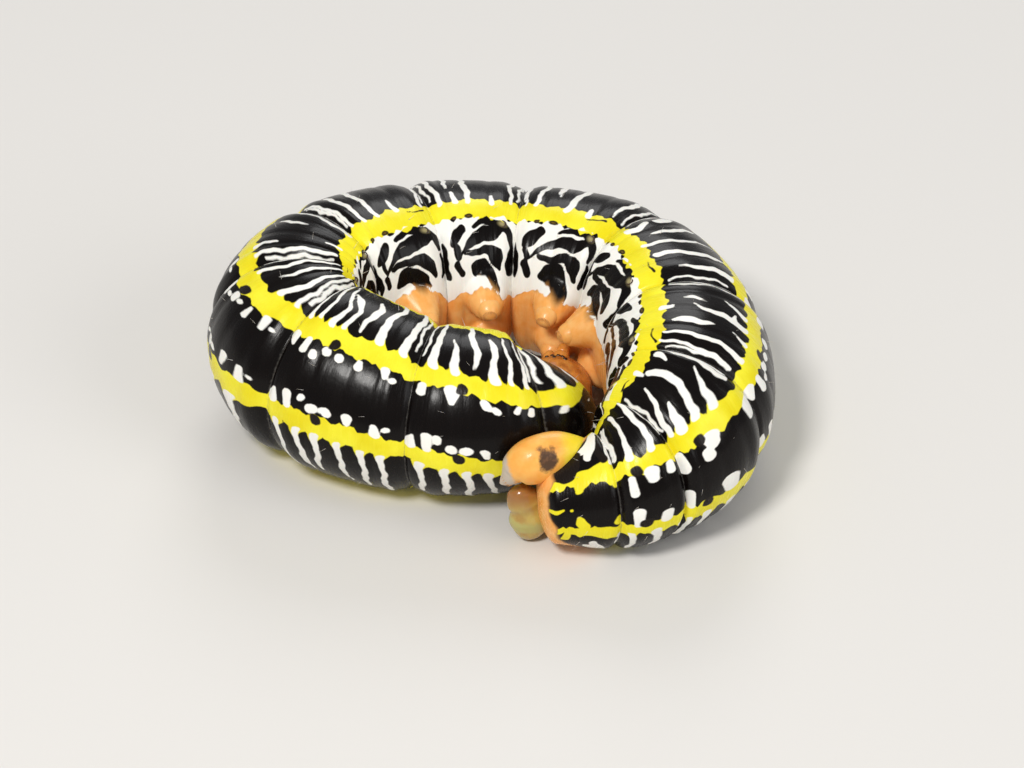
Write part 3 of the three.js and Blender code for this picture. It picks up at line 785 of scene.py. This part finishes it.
def build_skin(name, first, last, nodes):
    """The skin from fold first to fold last, with its ends turned in and closed."""
    a, b = first * ROWS_PER_SEGMENT, last * ROWS_PER_SEGMENT + 1
    if first == 0:
        start = [skin_point(np.zeros(AROUND), ang, size, np.full(AROUND, slip))
                 for size, slip in zip(cap_size, cap_slip)]
    else:
        start = [shrunk(P[a], share) for share in TURNED_IN[::-1]]
    if last == LAST:
        end = [skin_point(np.full(AROUND, float(LAST)), ang, NECK_END[0], np.full(AROUND, NECK_END[1]))]
    else:
        end = [shrunk(P[b - 1], share) for share in TURNED_IN]
    points = np.concatenate([np.stack(start), P[a:b], np.stack(end)])
    rows = len(points)
    values = {}
    for key, field in fields.items():
        before = cap_fields[key] if first == 0 else np.repeat(field[a:a + 1], len(start), 0)
        v = np.concatenate([before, field[a:b], np.repeat(field[b - 1:b], len(end), 0)]).reshape(-1)
        values[key] = np.concatenate([v, [v[0], v[-1]]])
    flat = points.reshape(-1, 3)
    flat = np.concatenate([flat, [points[0].mean(0)], [points[-1].mean(0)]])
    skin = make_piece(name, flat, grid_faces(rows, AROUND, rows * AROUND, rows * AROUND + 1), skin_mat, values)
    # a map of the skin: along the body, and round it
    mesh = skin.data
    corner = np.zeros(len(mesh.loops), np.int64)
    mesh.loops.foreach_get("vertex_index", corner)
    row_of, col_of = np.minimum(corner // AROUND, rows - 1), corner % AROUND
    corners = np.zeros(len(mesh.polygons), np.int64)
    mesh.polygons.foreach_get("loop_total", corners)
    face_of = np.repeat(np.arange(len(corners)), corners)
    widest = np.zeros(len(corners))
    np.maximum.at(widest, face_of, col_of)
    round_by = np.where((col_of == 0) & (widest[face_of] == AROUND - 1), 1.0, col_of / AROUND)
    along_by = (a + row_of) / (LAST * ROWS_PER_SEGMENT + 6)
    mesh.uv_layers.new(name="SkinMap").data.foreach_set("uv", np.stack([along_by, round_by], 1).reshape(-1))
    face_out(skin)
    print(name, len(mesh.polygons), "faces")
    return wear(skin, *nodes)


build_skin("larva_skin_hind", 0, 4, [f"abdomen_{k}" for k in (10, 9, 8, 7)])
build_skin("larva_skin_middle", 4, 8, [f"abdomen_{k}" for k in (6, 5, 4, 3)])
build_skin("larva_skin_front", 8, 13, ["abdomen_2", "abdomen_1", "thorax_3", "thorax_2", "thorax_1"])

# %% [markdown]
# The small round parts, such as lobes, legs and feelers, are rings along a smooth path. A skin
# or a metaball object would blend them too, but rings keep the widths exact and the mesh even.

# %% Rings along a path
def unit(v):
    v = np.asarray(v, float)
    return v / np.linalg.norm(v, axis=-1, keepdims=True)


def limb_rings(rows, count, sides, up=(0, 0, 1), wrinkle=0.0, seed=1):
    """rows are x, y, z, half width and half height; the result is a grid of points."""
    p = through(rows, count)
    middle = p[:, :3]
    way = unit(np.gradient(middle, axis=0))
    side = unit(np.cross(np.array(up, float), way))
    top = np.cross(way, side)
    a = 2 * math.pi * np.arange(sides) / sides
    wide, high = np.maximum(p[:, 3], 0.01), np.maximum(p[:, 4], 0.01)
    rng = np.random.default_rng(seed)
    b1, b2, b3 = rng.uniform(0, 6.3, 3)
    q = np.linspace(0, 1, count)[:, None]
    bump = 1 + wrinkle * (np.sin(31 * q + 2 * np.sin(a) + b1)
                          + 0.7 * np.sin(3 * a + 17 * q + b2) * np.sin(8 * q + b3))
    across, upward = wide[:, None] * np.cos(a) * bump, high[:, None] * np.sin(a) * bump
    return middle[:, None] + across[..., None] * side[:, None] + upward[..., None] * top[:, None]


def lofted(name, rings, material, values=None):
    n, m = rings.shape[:2]
    rings = np.concatenate([rings[..., :2], np.maximum(rings[..., 2:], 0.01)], -1)
    points = np.concatenate([rings.reshape(-1, 3), [rings[0].mean(0)], [rings[-1].mean(0)]])
    if values:
        values = {k: np.concatenate([v.reshape(-1), [v[0].mean(), v[-1].mean()]]) for k, v in values.items()}
    return face_out(make_piece(name, points, grid_faces(n, m, n * m, n * m + 1), material, values))


# %% [markdown]
# The clasping feet of the last segment are the photograph's nearest feature. The upper one is
# an orange dome with a brown spot, ending in a pale grainy foot. The lower one is pressed to the
# ground: two bulbs of clear yellowish flesh that let light through, so it gets subsurface
# scattering, where a plain diffuse shader would look like clay.

# %% Flesh materials
def flesh(name, one, two, spot, pale, clear=0.15, roughness=0.4, gloss=0.35, tint=None, coat=0.15):
    m, tree, b = new_material(name, roughness, gloss, clear, coat)
    tone, fine = noise(tree, 2300, 3), noise(tree, 9500, 3, rough=0.65)
    colour = lay_over(tree, one, two, spread(tree, tone, -0.8, 1.7))
    if tint:
        colour = lay_over(tree, colour, tint, mark(tree, "tint", spread(tree, tone, -0.12, 0.12), 0.28))
    colour = lay_over(tree, colour, pale, mark(tree, "pale", spread(tree, fine, -0.10, 0.10), 0.09))
    rough_spot = noise(tree, 4200, 4, rough=0.62)
    mottled = lay_over(tree, spot, tuple(2.6 * v for v in spot), spread(tree, noise(tree, 7000, 3), -1.1, 1.3))
    colour = lay_over(tree, colour, mottled, mark(tree, "spot", spread(tree, rough_spot, -0.17, 0.17), 0.075))
    tree.links.new(colour, b.inputs["Base Color"])
    rough = spread(tree, fine, roughness - 0.12, roughness + 0.15)
    tree.links.new(rough, b.inputs["Roughness"])
    bump = node(tree, "ShaderNodeBump", Strength=0.5, Distance=0.00003)
    tree.links.new(maths(tree, "MULTIPLY_ADD", fine, 0.6, tone), bump.inputs["Height"])
    tree.links.new(bump.outputs["Normal"], b.inputs["Normal"])
    return m


upper_flesh = flesh("Orange clasper", (0.90, 0.38, 0.06), (0.93, 0.50, 0.12), (0.085, 0.04, 0.018),
                    (0.55, 0.47, 0.38), tint=(0.90, 0.68, 0.03))
lower_flesh = flesh("Clear clasper", (0.42, 0.24, 0.045), (0.56, 0.45, 0.12), (0.20, 0.07, 0.02), (0.46, 0.42, 0.13),
                    0.5, 0.16, 0.5, tint=(0.34, 0.15, 0.035), coat=0.4)

# %% The two clasping feet
# a row is x, y, z, half width and half height, before the shift to the part's place
UPPER = [
    (2.25, -7.00, 2.95, 0.30, 0.40), (1.85, -7.25, 3.06, 0.54, 0.62), (1.35, -7.48, 3.16, 0.68, 0.76),
    (0.85, -7.66, 3.14, 0.72, 0.78), (0.45, -7.77, 3.02, 0.68, 0.73), (0.16, -7.82, 2.86, 0.54, 0.60),
    (0.04, -7.84, 2.74, 0.40, 0.42), (-0.10, -7.86, 2.56, 0.29, 0.29), (-0.28, -7.88, 2.40, 0.14, 0.14),
    (-0.37, -7.88, 2.33, 0.03, 0.03),
]
LOWER = [
    (0.70, -7.60, 0.16, 0.20, 0.12), (0.62, -7.68, 0.34, 0.50, 0.42), (0.54, -7.72, 0.80, 0.64, 0.52),
    (0.46, -7.72, 1.24, 0.53, 0.42), (0.36, -7.72, 1.56, 0.54, 0.44), (0.32, -7.72, 1.88, 0.42, 0.34),
    (0.33, -7.70, 2.06, 0.18, 0.16), (0.34, -7.70, 2.10, 0.03, 0.03),
]
BROWN_SPOT, BROWN_SMEAR = np.array([1.12, -8.2, 3.5]), np.array([1.15, -8.02, 3.83])
rings = limb_rings(UPPER, 130, 120, wrinkle=0.006, seed=4)
far = np.linalg.norm((rings - BROWN_SPOT) * (1, 0.8, 0.8), axis=-1)
smear = 0.05 - np.linalg.norm((rings - BROWN_SMEAR) * (0.22, 0.8, 0.8), axis=-1)
pale = 0.12 - rings[..., 0] + 0.35 * (2.55 - rings[..., 2])
marks = {"spot": np.maximum(0.30 - far, smear), "pale": pale, "tint": rings[..., 0] - 1.62}
upper = wear(lofted("clasping_foot_left", rings + SHIFT, upper_flesh, marks), "anal_proleg_left")
rings = limb_rings(LOWER, 110, 100, up=(0, 1, 0), wrinkle=0.014, seed=9)
rings[..., 2] = np.maximum(rings[..., 2], 0.02)
reddish = (rings[..., 2] - 1.62) + 0.25 * (0.3 - rings[..., 0])
marks = {"spot": np.full(rings.shape[:2], BLANK), "pale": 0.20 - np.abs(rings[..., 2] - 0.75), "tint": reddish}
lower = wear(lofted("clasping_foot_right", rings + SHIFT, lower_flesh, marks), "anal_proleg_right")
print("clasping feet", len(upper.data.polygons), len(lower.data.polygons))

# %% [markdown]
# The prolegs end in a soft domed pad with a crescent of brown hooks, with which the larva grips
# a stem. The pads are rings that follow the tips of the raised skin, so they need no fitting.

# %% Pads of the prolegs
def cross_frame(way):
    way = unit(way)
    side = unit(np.cross([0, 0, 1.0], way))
    return way, side, np.cross(way, side)


pad_flesh = flesh("Proleg pad", (0.91, 0.40, 0.09), (0.94, 0.50, 0.16), (0.30, 0.10, 0.03), (0.80, 0.55, 0.30))
# distance out from the tip of the proleg, and half width there
PAD_SHAPE = ((-0.45, 0.38), (-0.28, 0.40), (-0.12, 0.385), (0.02, 0.345), (0.13, 0.275), (0.21, 0.18),
             (0.25, 0.09), (0.26, 0.02))
PAD_HOOKS, FOOT_HOOKS = 17, 15
hook_roots, hook_ways, hook_runs = [], [], []
for key, (tip, away) in proleg_tips.items():
    rows = [(*(tip + away * d), w, w * 0.92) for d, w in PAD_SHAPE]
    rings = limb_rings(rows, 22, 30, wrinkle=0.012, seed=int(key[0]))
    rings[..., 2] = np.maximum(rings[..., 2], 0.02)
    none = np.full(rings.shape[:2], BLANK)
    wear(lofted("proleg_pad_" + key, rings, pad_flesh, {"spot": none, "pale": none}), "proleg_" + key)
    way, side, top = cross_frame(away)
    for n in range(PAD_HOOKS):
        a = math.radians(-100 + 200 * n / (PAD_HOOKS - 1)) + (0 if "left" in key else math.pi)
        rim = math.cos(a) * top + math.sin(a) * side
        hook_roots.append(tip + away * 0.15 + rim * 0.22)
        hook_ways.append(unit(away * 0.8 + rim * 0.5))
        hook_runs.append(rim)
for n in range(FOOT_HOOKS):      # on the pale foot of the upper clasper
    a = 2 * math.pi * n / FOOT_HOOKS
    rim = math.cos(a) * np.array([0.2, 1.0, 0.1]) + math.sin(a) * np.array([0.6, 0, -0.8])
    hook_roots.append(np.array([-0.10, -7.86, 2.53]) + SHIFT + 0.24 * rim)
    hook_ways.append(unit(np.array([-0.85, -0.1, -0.5]) + 0.5 * rim))
    hook_runs.append(rim)
print("pads", len(proleg_tips), "hooks", len(hook_roots))

# %% [markdown]
# Hooks, hairs, eyes and the rims of the breathing holes are each one small shape repeated. A
# Geometry Nodes tree sets it on points that carry their own direction. The tree ends in
# Realize Instances and Set Material, and its result is turned into a plain mesh.

# %% The small shapes
def small_shape(tree, shape):
    """A spine, a bead or a ring, of unit size; gives the socket of its geometry."""
    if shape == "spine":
        settings = {"Vertices": 5, "Side Segments": 5, "Radius Top": 0.12, "Radius Bottom": 1.0, "Depth": 1.0}
        return node(tree, "GeometryNodeMeshCone", **settings).outputs["Mesh"]
    if shape == "bead":
        return node(tree, "GeometryNodeMeshIcoSphere", Subdivisions=3).outputs["Mesh"]
    loop = node(tree, "GeometryNodeCurvePrimitiveCircle", Resolution=16, Radius=1.0)
    wire = node(tree, "GeometryNodeCurvePrimitiveCircle", Resolution=6, Radius=0.26)
    ring = node(tree, "GeometryNodeCurveToMesh")
    tree.links.new(loop.outputs["Curve"], ring.inputs["Curve"])
    tree.links.new(wire.outputs["Curve"], ring.inputs["Profile Curve"])
    return ring.outputs["Mesh"]


# %% A tree that sets one small shape on many points
def repeat_tree(name, shape, material, seed):
    tree = bpy.data.node_groups.new(name, "GeometryNodeTree")
    face, link = tree.interface, tree.links.new
    face.new_socket("Geometry", in_out="INPUT", socket_type="NodeSocketGeometry")
    for label, value in (("Length", 1.0), ("Thickness", 1.0), ("Bend", 0.0), ("Variation", 0.2)):
        face.new_socket(label, in_out="INPUT", socket_type="NodeSocketFloat").default_value = value
    face.new_socket("Geometry", in_out="OUTPUT", socket_type="NodeSocketGeometry")
    source, result = node(tree, "NodeGroupInput"), node(tree, "NodeGroupOutput")

    # bend the shape over its length
    split, join = node(tree, "ShaderNodeSeparateXYZ"), node(tree, "ShaderNodeCombineXYZ")
    link(node(tree, "GeometryNodeInputPosition").outputs[0], split.inputs[0])
    square = maths(tree, "MULTIPLY", split.outputs["Z"], split.outputs["Z"])
    link(maths(tree, "MULTIPLY", square, source.outputs["Bend"]), join.inputs["X"])
    bent = node(tree, "GeometryNodeSetPosition")
    link(small_shape(tree, shape), bent.inputs["Geometry"])
    link(join.outputs[0], bent.inputs["Offset"])

    # turn each copy: its own z axis to stand, then its x axis to run
    turn = None
    for attribute, settings in (("stand", {"axis": "Z"}), ("run", {"axis": "X", "pivot_axis": "Z"})):
        read = node(tree, "GeometryNodeInputNamedAttribute", data_type="FLOAT_VECTOR", Name=attribute)
        before, turn = turn, node(tree, "FunctionNodeAlignRotationToVector", **settings)
        link(read.outputs["Attribute"], turn.inputs["Vector"])
        if before:
            link(before.outputs["Rotation"], turn.inputs["Rotation"])

    # size of each copy: its own size and a little chance
    chance = node(tree, "FunctionNodeRandomValue", Seed=seed)
    link(maths(tree, "SUBTRACT", 1.0, source.outputs["Variation"]), chance.inputs[2])
    link(maths(tree, "ADD", 1.0, source.outputs["Variation"]), chance.inputs[3])
    own = node(tree, "GeometryNodeInputNamedAttribute", data_type="FLOAT", Name="size")
    grow = maths(tree, "MULTIPLY", chance.outputs[1], own.outputs["Attribute"])
    scale = node(tree, "ShaderNodeCombineXYZ")
    for axis, label in (("X", "Thickness"), ("Y", "Thickness"), ("Z", "Length")):
        link(maths(tree, "MULTIPLY", grow, source.outputs[label]), scale.inputs[axis])

    on, real = node(tree, "GeometryNodeInstanceOnPoints"), node(tree, "GeometryNodeRealizeInstances")
    dress = node(tree, "GeometryNodeSetMaterial", Material=material)
    for a, b in ((source.outputs["Geometry"], on.inputs["Points"]), (bent.outputs["Geometry"], on.inputs["Instance"]),
                 (turn.outputs["Rotation"], on.inputs["Rotation"]), (scale.outputs[0], on.inputs["Scale"]),
                 (on.outputs["Instances"], real.inputs["Geometry"]),
                 (real.outputs["Geometry"], dress.inputs["Geometry"]),
                 (dress.outputs["Geometry"], result.inputs["Geometry"])):
        link(a, b)
    return tree


# %% From the tree to a plain mesh
PATCH = 0.0014          # radius of a copy's patch of the map


def repeated(name, shape, roots, stand, run, material, sizes=None, seed=3, patches=None, **settings):
    """Sets the shape on the roots, in millimetres; the lengths in settings are in metres."""
    count = len(roots)
    points = bpy.data.meshes.new(name + "_points")
    points.from_pydata([tuple(p) for p in np.array(roots) * MM], [], [])
    for key, data in (("stand", stand), ("run", run)):
        layer = points.attributes.new(key, "FLOAT_VECTOR", "POINT")
        layer.data.foreach_set("vector", np.array(data, np.float32).reshape(-1))
    layer = points.attributes.new("size", "FLOAT", "POINT")
    layer.data.foreach_set("value", np.array(sizes if sizes is not None else np.ones(count), np.float32))
    holder = bpy.data.objects.new(name + "_points", points)
    bpy.context.scene.collection.objects.link(holder)
    modifier = holder.modifiers.new("Repeat", "NODES")
    modifier.node_group = tree = repeat_tree(name, shape, material, seed)
    for item in tree.interface.items_tree:
        if item.in_out == "INPUT" and item.name in settings:
            modifier[item.identifier] = float(settings[item.name])
    mesh = bpy.data.meshes.new_from_object(holder.evaluated_get(bpy.context.evaluated_depsgraph_get()))
    for v in mesh.vertices:      # nothing reaches under the ground
        v.co.z = max(v.co.z, 0.00001)
    holder.modifiers.clear()
    bpy.data.objects.remove(holder)
    mesh.name = name
    piece = bpy.data.objects.new(name, mesh)
    bpy.context.scene.collection.objects.link(piece)
    mesh.polygons.foreach_set("use_smooth", [True] * len(mesh.polygons))
    if not mesh.materials:
        mesh.materials.append(material)
    # each copy is a small patch of the map, at the place given in patches (for the hairs, their place along and round
    # the body), or else at its place on a grid of twentieths
    while mesh.uv_layers:
        mesh.uv_layers.remove(mesh.uv_layers[0])
    layer = mesh.uv_layers.new(name="OFBake")
    each = len(mesh.loops) // count
    base = np.array(patches or [((n % 20) / 20, (n // 20) / 20) for n in range(count)])
    turn = np.arange(each) / max(1, each)
    local = np.stack([np.cos(6.28 * turn), np.sin(6.28 * turn)], 1) * PATCH
    layer.data.foreach_set("uv", (base[:, None] + local[None]).reshape(-1))
    print(name, count, "copies", len(mesh.polygons), "faces")
    return piece


# %% Hooks of the feet
def horn(name, one, two, roughness=0.3, clear=0.0):
    m, tree, b = new_material(name, roughness, 0.5, clear, 0.2)
    tone = noise(tree, 6000, 3)
    tree.links.new(lay_over(tree, one, two, spread(tree, tone, -0.5, 1.5)), b.inputs["Base Color"])
    tree.links.new(spread(tree, tone, roughness - 0.08, roughness + 0.12), b.inputs["Roughness"])
    bump = node(tree, "ShaderNodeBump", Strength=0.3, Distance=0.00001)
    tree.links.new(tone, bump.inputs["Height"])
    tree.links.new(bump.outputs["Normal"], b.inputs["Normal"])
    return m


hook_horn = horn("Brown horn", (0.52, 0.22, 0.06), (0.66, 0.32, 0.10))
hooks = repeated("foot_hooks", "spine", hook_roots, hook_ways, [-np.array(r) for r in hook_runs], hook_horn,
                 seed=5, Length=0.10 * MM, Thickness=0.016 * MM, Bend=6.0, Variation=0.15)
wear(hooks)

# %% [markdown]
# Three pairs of true legs stand behind the head. Each is a row of glossy rings that narrows to
# a claw, so its outline steps in at the joints. Cones joined end to end would step in too, but
# one row of rings has no seams.

# %% The legs
leg_horn = horn("Amber leg", (0.42, 0.15, 0.035), (0.62, 0.30, 0.09), 0.26, 0.15)
# a leg is name, segment, place on it, degrees of the left and right one, lean ahead and length
LEGS = (("leg_1", 12, 0.84, 144, -150, 0.9, 0.8), ("leg_2", 11, 0.36, 146, -163, -0.3, 1.15),
        ("leg_3", 10, 0.62, 150, -166, 0.2, 1.15))
# share of the leg's length, and half width there
LEG_SHAPE = ((-0.45, 0.37), (0.0, 0.36), (0.24, 0.33), (0.33, 0.27), (0.40, 0.29), (0.56, 0.26),
             (0.64, 0.20), (0.70, 0.22), (0.84, 0.18), (0.90, 0.10), (0.97, 0.07), (1.0, 0.02))
for name, i, u, left_at, right_at, lean, reach in LEGS:
    for side, degrees, rise in (("left", left_at, 0.12), ("right", right_at, 0.02)):
        s0, a0 = np.array(i + u), np.array(math.radians(degrees))
        f = body_frame(s0)
        way = unit(-f["out"] + lean * f["ahead"] + np.array([0, 0, rise]))
        foot = skin_point(s0, a0)
        rows = [(*(foot + way * reach * d + f["ahead"] * 0.10 * max(0, d) ** 2), w, w) for d, w in LEG_SHAPE]
        leg = lofted(f"{name}_{side}_dressed", limb_rings(rows, 46, 22, wrinkle=0.006, seed=i), leg_horn)
        wear(leg, f"{name}_{side}", slot="head")
print("legs", 2 * len(LEGS), "rings in each", 46)

# %% [markdown]
# The head is hidden in the ring, but a still model is looked at from all sides. It is a hard
# round capsule, parted by a line that forks above the face. It is made of rings and not from
# a sphere, so that the line and the forehead can be pressed in by a rule.

# %% The head capsule
HEAD_WIDTH, HEAD_HEIGHT, HEAD_DEPTH = 2.5, 2.4, 1.8
NECK_GAP = 0.16
nf = body_frame(np.array(float(LAST)))


def head_swell(u):
    """The capsule's share of its full width, u of the way from the neck to the face."""
    return 0.2 + 0.8 * np.sin(math.pi * (0.2 + 0.72 * u)) ** 0.6


def on_capsule(u, a, swell, dent=1.0):
    """Points of the capsule, u along it and at angle a round it."""
    return (nf["centre"] + nf["ahead"] * np.asarray(NECK_GAP + HEAD_DEPTH * u)[..., None]
            + nf["back"] * np.asarray(HEAD_HEIGHT / 2 * swell * dent * np.cos(a))[..., None]
            + nf["left"] * np.asarray(HEAD_WIDTH / 2 * swell * np.sin(a))[..., None])


Uh, Ah = np.meshgrid(np.linspace(0, 1, 64), 2 * math.pi * np.arange(96) / 96, indexing="ij")
from_top = np.abs(np.arctan2(np.sin(Ah), np.cos(Ah)))
swell = np.where(Uh < 0.97, head_swell(np.minimum(Uh, 0.97)), 0.0)
swell = swell * np.sqrt(np.clip((1.0 - Uh) / 0.10, 0, 1) * 0.5 + 0.5 * (Uh < 0.999))
fork = np.where(Uh > 0.46, (Uh - 0.46) * 1.5, 0.0)
line = np.exp(-(((from_top - fork) / 0.055) ** 2)) * ease(0.02, 0.15, Uh) * (1 - ease(0.86, 0.95, Uh))
dent = 1 - 0.035 * line - 0.05 * np.exp(-((from_top / 0.28) ** 2)) * Uh
head_horn = flesh("Head capsule", (0.72, 0.26, 0.04), (0.84, 0.40, 0.09), (0.16, 0.045, 0.012), (0.42, 0.13, 0.025),
                  0.15, 0.24, 0.5)
freckle = 0.05 * np.sin(9 * Ah) * np.sin(21 * Uh + 3 * np.sin(2 * Ah)) - 0.012
marks = {"spot": line * 0.12 - 0.07, "pale": freckle}
head = wear(lofted("head_capsule", on_capsule(Uh, Ah, swell, dent), head_horn, marks), "head", slot="head")
print("head capsule", len(head.data.polygons), "faces")

# %% [markdown]
# The feelers are short and jointed, and the jaws are blunt wedges below the face. Both are rings
# along a short path, as the legs are, so the same helper makes them.

# %% Feelers and jaws
FEELER = ((0.05, 0.27, 0.27), (0.35, 0.26, 0.26), (0.42, 0.20, 0.20), (0.48, 0.22, 0.22), (0.74, 0.19, 0.19),
          (0.79, 0.12, 0.12), (0.97, 0.10, 0.10), (1.0, 0.02, 0.02))
JAW = ((0.1, 0.22, 0.27), (0.5, 0.24, 0.29), (0.8, 0.20, 0.26), (0.95, 0.12, 0.20), (1.0, 0.04, 0.08))


def face_part(name, across, high, reach, shape, replaced):
    root = nf["centre"] + nf["ahead"] * HEAD_DEPTH * 0.85 + nf["left"] * across + nf["back"] * high
    way = nf["ahead"] * reach + nf["left"] * across * 0.25 - nf["back"] * 0.15
    rings = limb_rings([(*(root + way * d), w, h) for d, w, h in shape], 34, 20, wrinkle=0.004)
    none = np.full(rings.shape[:2], BLANK)
    return wear(lofted(name, rings, head_horn, {"spot": none, "pale": none}), replaced, slot="head")


for side, sign in (("left", 1), ("right", -1)):
    feeler = face_part("feeler_" + side, 0.72 * sign, -0.1, 1.0, FEELER, "antenna_" + side)
    jaw = face_part("jaw_" + side, 0.34 * sign, -0.6, 0.8, JAW, "mandible_" + side)
    print(feeler.name, jaw.name)

# %% [markdown]
# Six simple eyes sit low on each side of the head, as dark glossy beads half sunk in the
# capsule. They use the same tree as the hooks, with another small shape.

# %% The simple eyes
eye_roots, eye_ways = [], []
for sign in (1, -1):
    for u, degrees in ((0.66, 78), (0.74, 86), (0.78, 96), (0.74, 106), (0.66, 112), (0.62, 96)):
        a = math.radians(sign * degrees)
        way = unit(nf["back"] * math.cos(a) + nf["left"] * math.sin(a) + nf["ahead"] * (2.2 * (u - 0.45)))
        eye_roots.append(on_capsule(u, a, head_swell(u)) - 0.01 * way)
        eye_ways.append(way)
eye_glass = horn("Dark eye", (0.012, 0.008, 0.006), (0.03, 0.02, 0.012), 0.12)
eyes = repeated("simple_eyes", "bead", eye_roots, eye_ways, [nf["ahead"]] * len(eye_roots), eye_glass,
                Length=0.05 * MM, Thickness=0.075 * MM, Variation=0.1)
wear(eyes, slot="head")

# %% [markdown]
# The rims of the breathing holes lie along the lower edge of the side stripe, one on each side
# of a segment. They could be cut into the skin, but a thin ring that stands on it shows as well
# at this size and leaves the skin's grid whole.

# %% Rims of the breathing holes
def skin_frame(s, degrees):
    """Point, way out and way along the body, at a place of the skin."""
    a, d = math.radians(degrees), 0.01
    p = skin_point(np.array(float(s)), np.array(a))
    run = unit(skin_point(np.array(s + d), np.array(a)) - p)
    across = skin_point(np.array(float(s)), np.array(a + d)) - p
    out = unit(np.cross(run, across))
    if out @ (p - body_frame(np.array(float(s)))["centre"]) < 0:
        out = -out
    return p, out, run


rim_roots, rim_ways, rim_runs = [], [], []
for i in (2, 3, 4, 5, 6, 7, 8, 9, 12):
    for sign in (1, -1):
        degrees = HOLE_AT[1] - (8 if i == 12 and sign > 0 else 0)
        p, out, run = skin_frame(i + HOLE_AT[0], sign * degrees)
        if p[2] > 0.25:
            rim_roots.append(p - out * 0.03)
            rim_ways.append(out)
            rim_runs.append(run)
rim_horn = horn("Breathing hole rim", (0.03, 0.015, 0.008), (0.07, 0.035, 0.015), 0.28)
rims = repeated("breathing_holes", "ring", rim_roots, rim_ways, rim_runs, rim_horn,
                Length=0.08 * MM, Thickness=0.105 * MM, Variation=0.08)
wear(rims)

# %% [markdown]
# Short pale hairs stand singly on the segments, and shorter ones round the tail. Each is a bent
# five-sided spine, a thirtieth of a millimetre thick at its root. Blender's own hair would be
# quicker to place, but it has no mesh, and so few hairs need none of its tools.

# %% Hairs
# place on the segment, degrees from the middle of the back, and size
HAIR_SPOTS = ((0.28, 8, 0.45), (0.70, 13, 0.5), (0.47, 43, 0.5), (0.66, 72, 0.55), (0.30, 98, 0.5),
              (0.56, 117, 0.55), (0.74, 133, 0.6), (0.40, 149, 0.6), (0.62, 160, 0.5))
rng = np.random.default_rng(77)
hair_roots, hair_ways, hair_runs, hair_sizes, hair_maps = [], [], [], [], []


def add_hair(s, degrees, size):
    p, out, run = skin_frame(s, degrees)
    if p[2] < 0.35:
        return
    hair_roots.append(p - out * 0.03)
    hair_ways.append(unit(out - 0.6 * run + 0.15 * rng.normal(size=3)))
    hair_runs.append(-run)
    hair_sizes.append(size * rng.uniform(0.8, 1.2))
    hair_maps.append((s / 13.0 * 0.98 + 0.01, (degrees % 360) / 360 * 0.98 + 0.01))


for i in range(1, 13):
    for u, degrees, size in HAIR_SPOTS:
        for sign in (1, -1):
            add_hair(i + u + rng.uniform(-0.03, 0.03), sign * (degrees + rng.uniform(-2, 2)), size * 0.9)
for n in range(14):
    add_hair(0.12 + 0.5 * rng.random(), -150 + 300 * (n + 0.5) / 14, 0.45)
hair_shine = horn("Pale hair", (0.62, 0.54, 0.44), (0.80, 0.74, 0.66), 0.3, 0.2)
hairs = repeated("hairs", "spine", hair_roots, hair_ways, hair_runs, hair_shine, sizes=hair_sizes, seed=8,
                 patches=hair_maps, Length=0.62 * MM, Thickness=0.016 * MM, Bend=0.5, Variation=0.15)
wear(hairs)

# %% [markdown]
# The floor, the lights and the camera. The view is the photograph's: from the front, well
# above, through a long lens. Three soft discs of light were chosen over one lamp, because a
# glossy black skin shows its form only by what it mirrors.

# %% The floor
FLOOR_HALF = 0.6
floor_mesh = bpy.data.meshes.new("floor")
floor_mesh.from_pydata([(FLOOR_HALF * x, FLOOR_HALF * y, 0) for x, y in ((-1, -1), (1, -1), (1, 1), (-1, 1))], [],
                       [(0, 1, 2, 3)])
floor_paint, _, shader = new_material("Pale floor", 0.7)
shader.inputs["Base Color"].default_value = (0.72, 0.70, 0.67, 1)
floor_mesh.materials.append(floor_paint)
floor = bpy.data.objects.new("floor", floor_mesh)
bpy.context.scene.collection.objects.link(floor)
print("floor, m", 2 * FLOOR_HALF)

# %% The lights
world = bpy.data.worlds.new("Studio")
world.use_nodes = True
world.node_tree.nodes["Background"].inputs[0].default_value = (0.95, 0.97, 1.0, 1)
world.node_tree.nodes["Background"].inputs[1].default_value = 0.33
bpy.context.scene.world = world
bpy.context.scene.view_settings.view_transform = "Standard"


def soft_light(name, place, aim, size, power, colour=(1, 1, 1)):
    data = bpy.data.lights.new(name, "AREA")
    data.shape, data.size, data.energy, data.color = "DISK", size, power, colour
    obj = bpy.data.objects.new(name, data)
    obj.location = place
    obj.rotation_euler = (Vector(aim) - Vector(place)).to_track_quat("-Z", "Y").to_euler()
    bpy.context.scene.collection.objects.link(obj)
    return obj


LIT = (0, 0, 0.003)
soft_light("Key", (-0.06, -0.11, 0.17), LIT, 0.05, 0.31, (1, 0.98, 0.95))
soft_light("Fill", (0.14, -0.08, 0.10), LIT, 0.12, 0.10)
soft_light("Rim", (0.02, 0.16, 0.12), LIT, 0.10, 0.10)
print("lights", len(bpy.data.lights))

# %% The camera
ELEVATION = math.radians(38.58)
DISTANCE = 0.1926
cam_data = bpy.data.cameras.new("Camera")
cam_data.sensor_width = 36.0
cam_data.lens = 208.8
cam_data.clip_start = 0.001
cam = bpy.data.objects.new("Camera", cam_data)
cam.location = (SHIFT[0] * MM, SHIFT[1] * MM - DISTANCE * math.cos(ELEVATION), DISTANCE * math.sin(ELEVATION))
cam.rotation_euler = (math.pi / 2 - ELEVATION, 0, 0)
bpy.context.scene.collection.objects.link(cam)
bpy.context.scene.camera = cam
print("camera at, m", [round(v, 4) for v in cam.location])
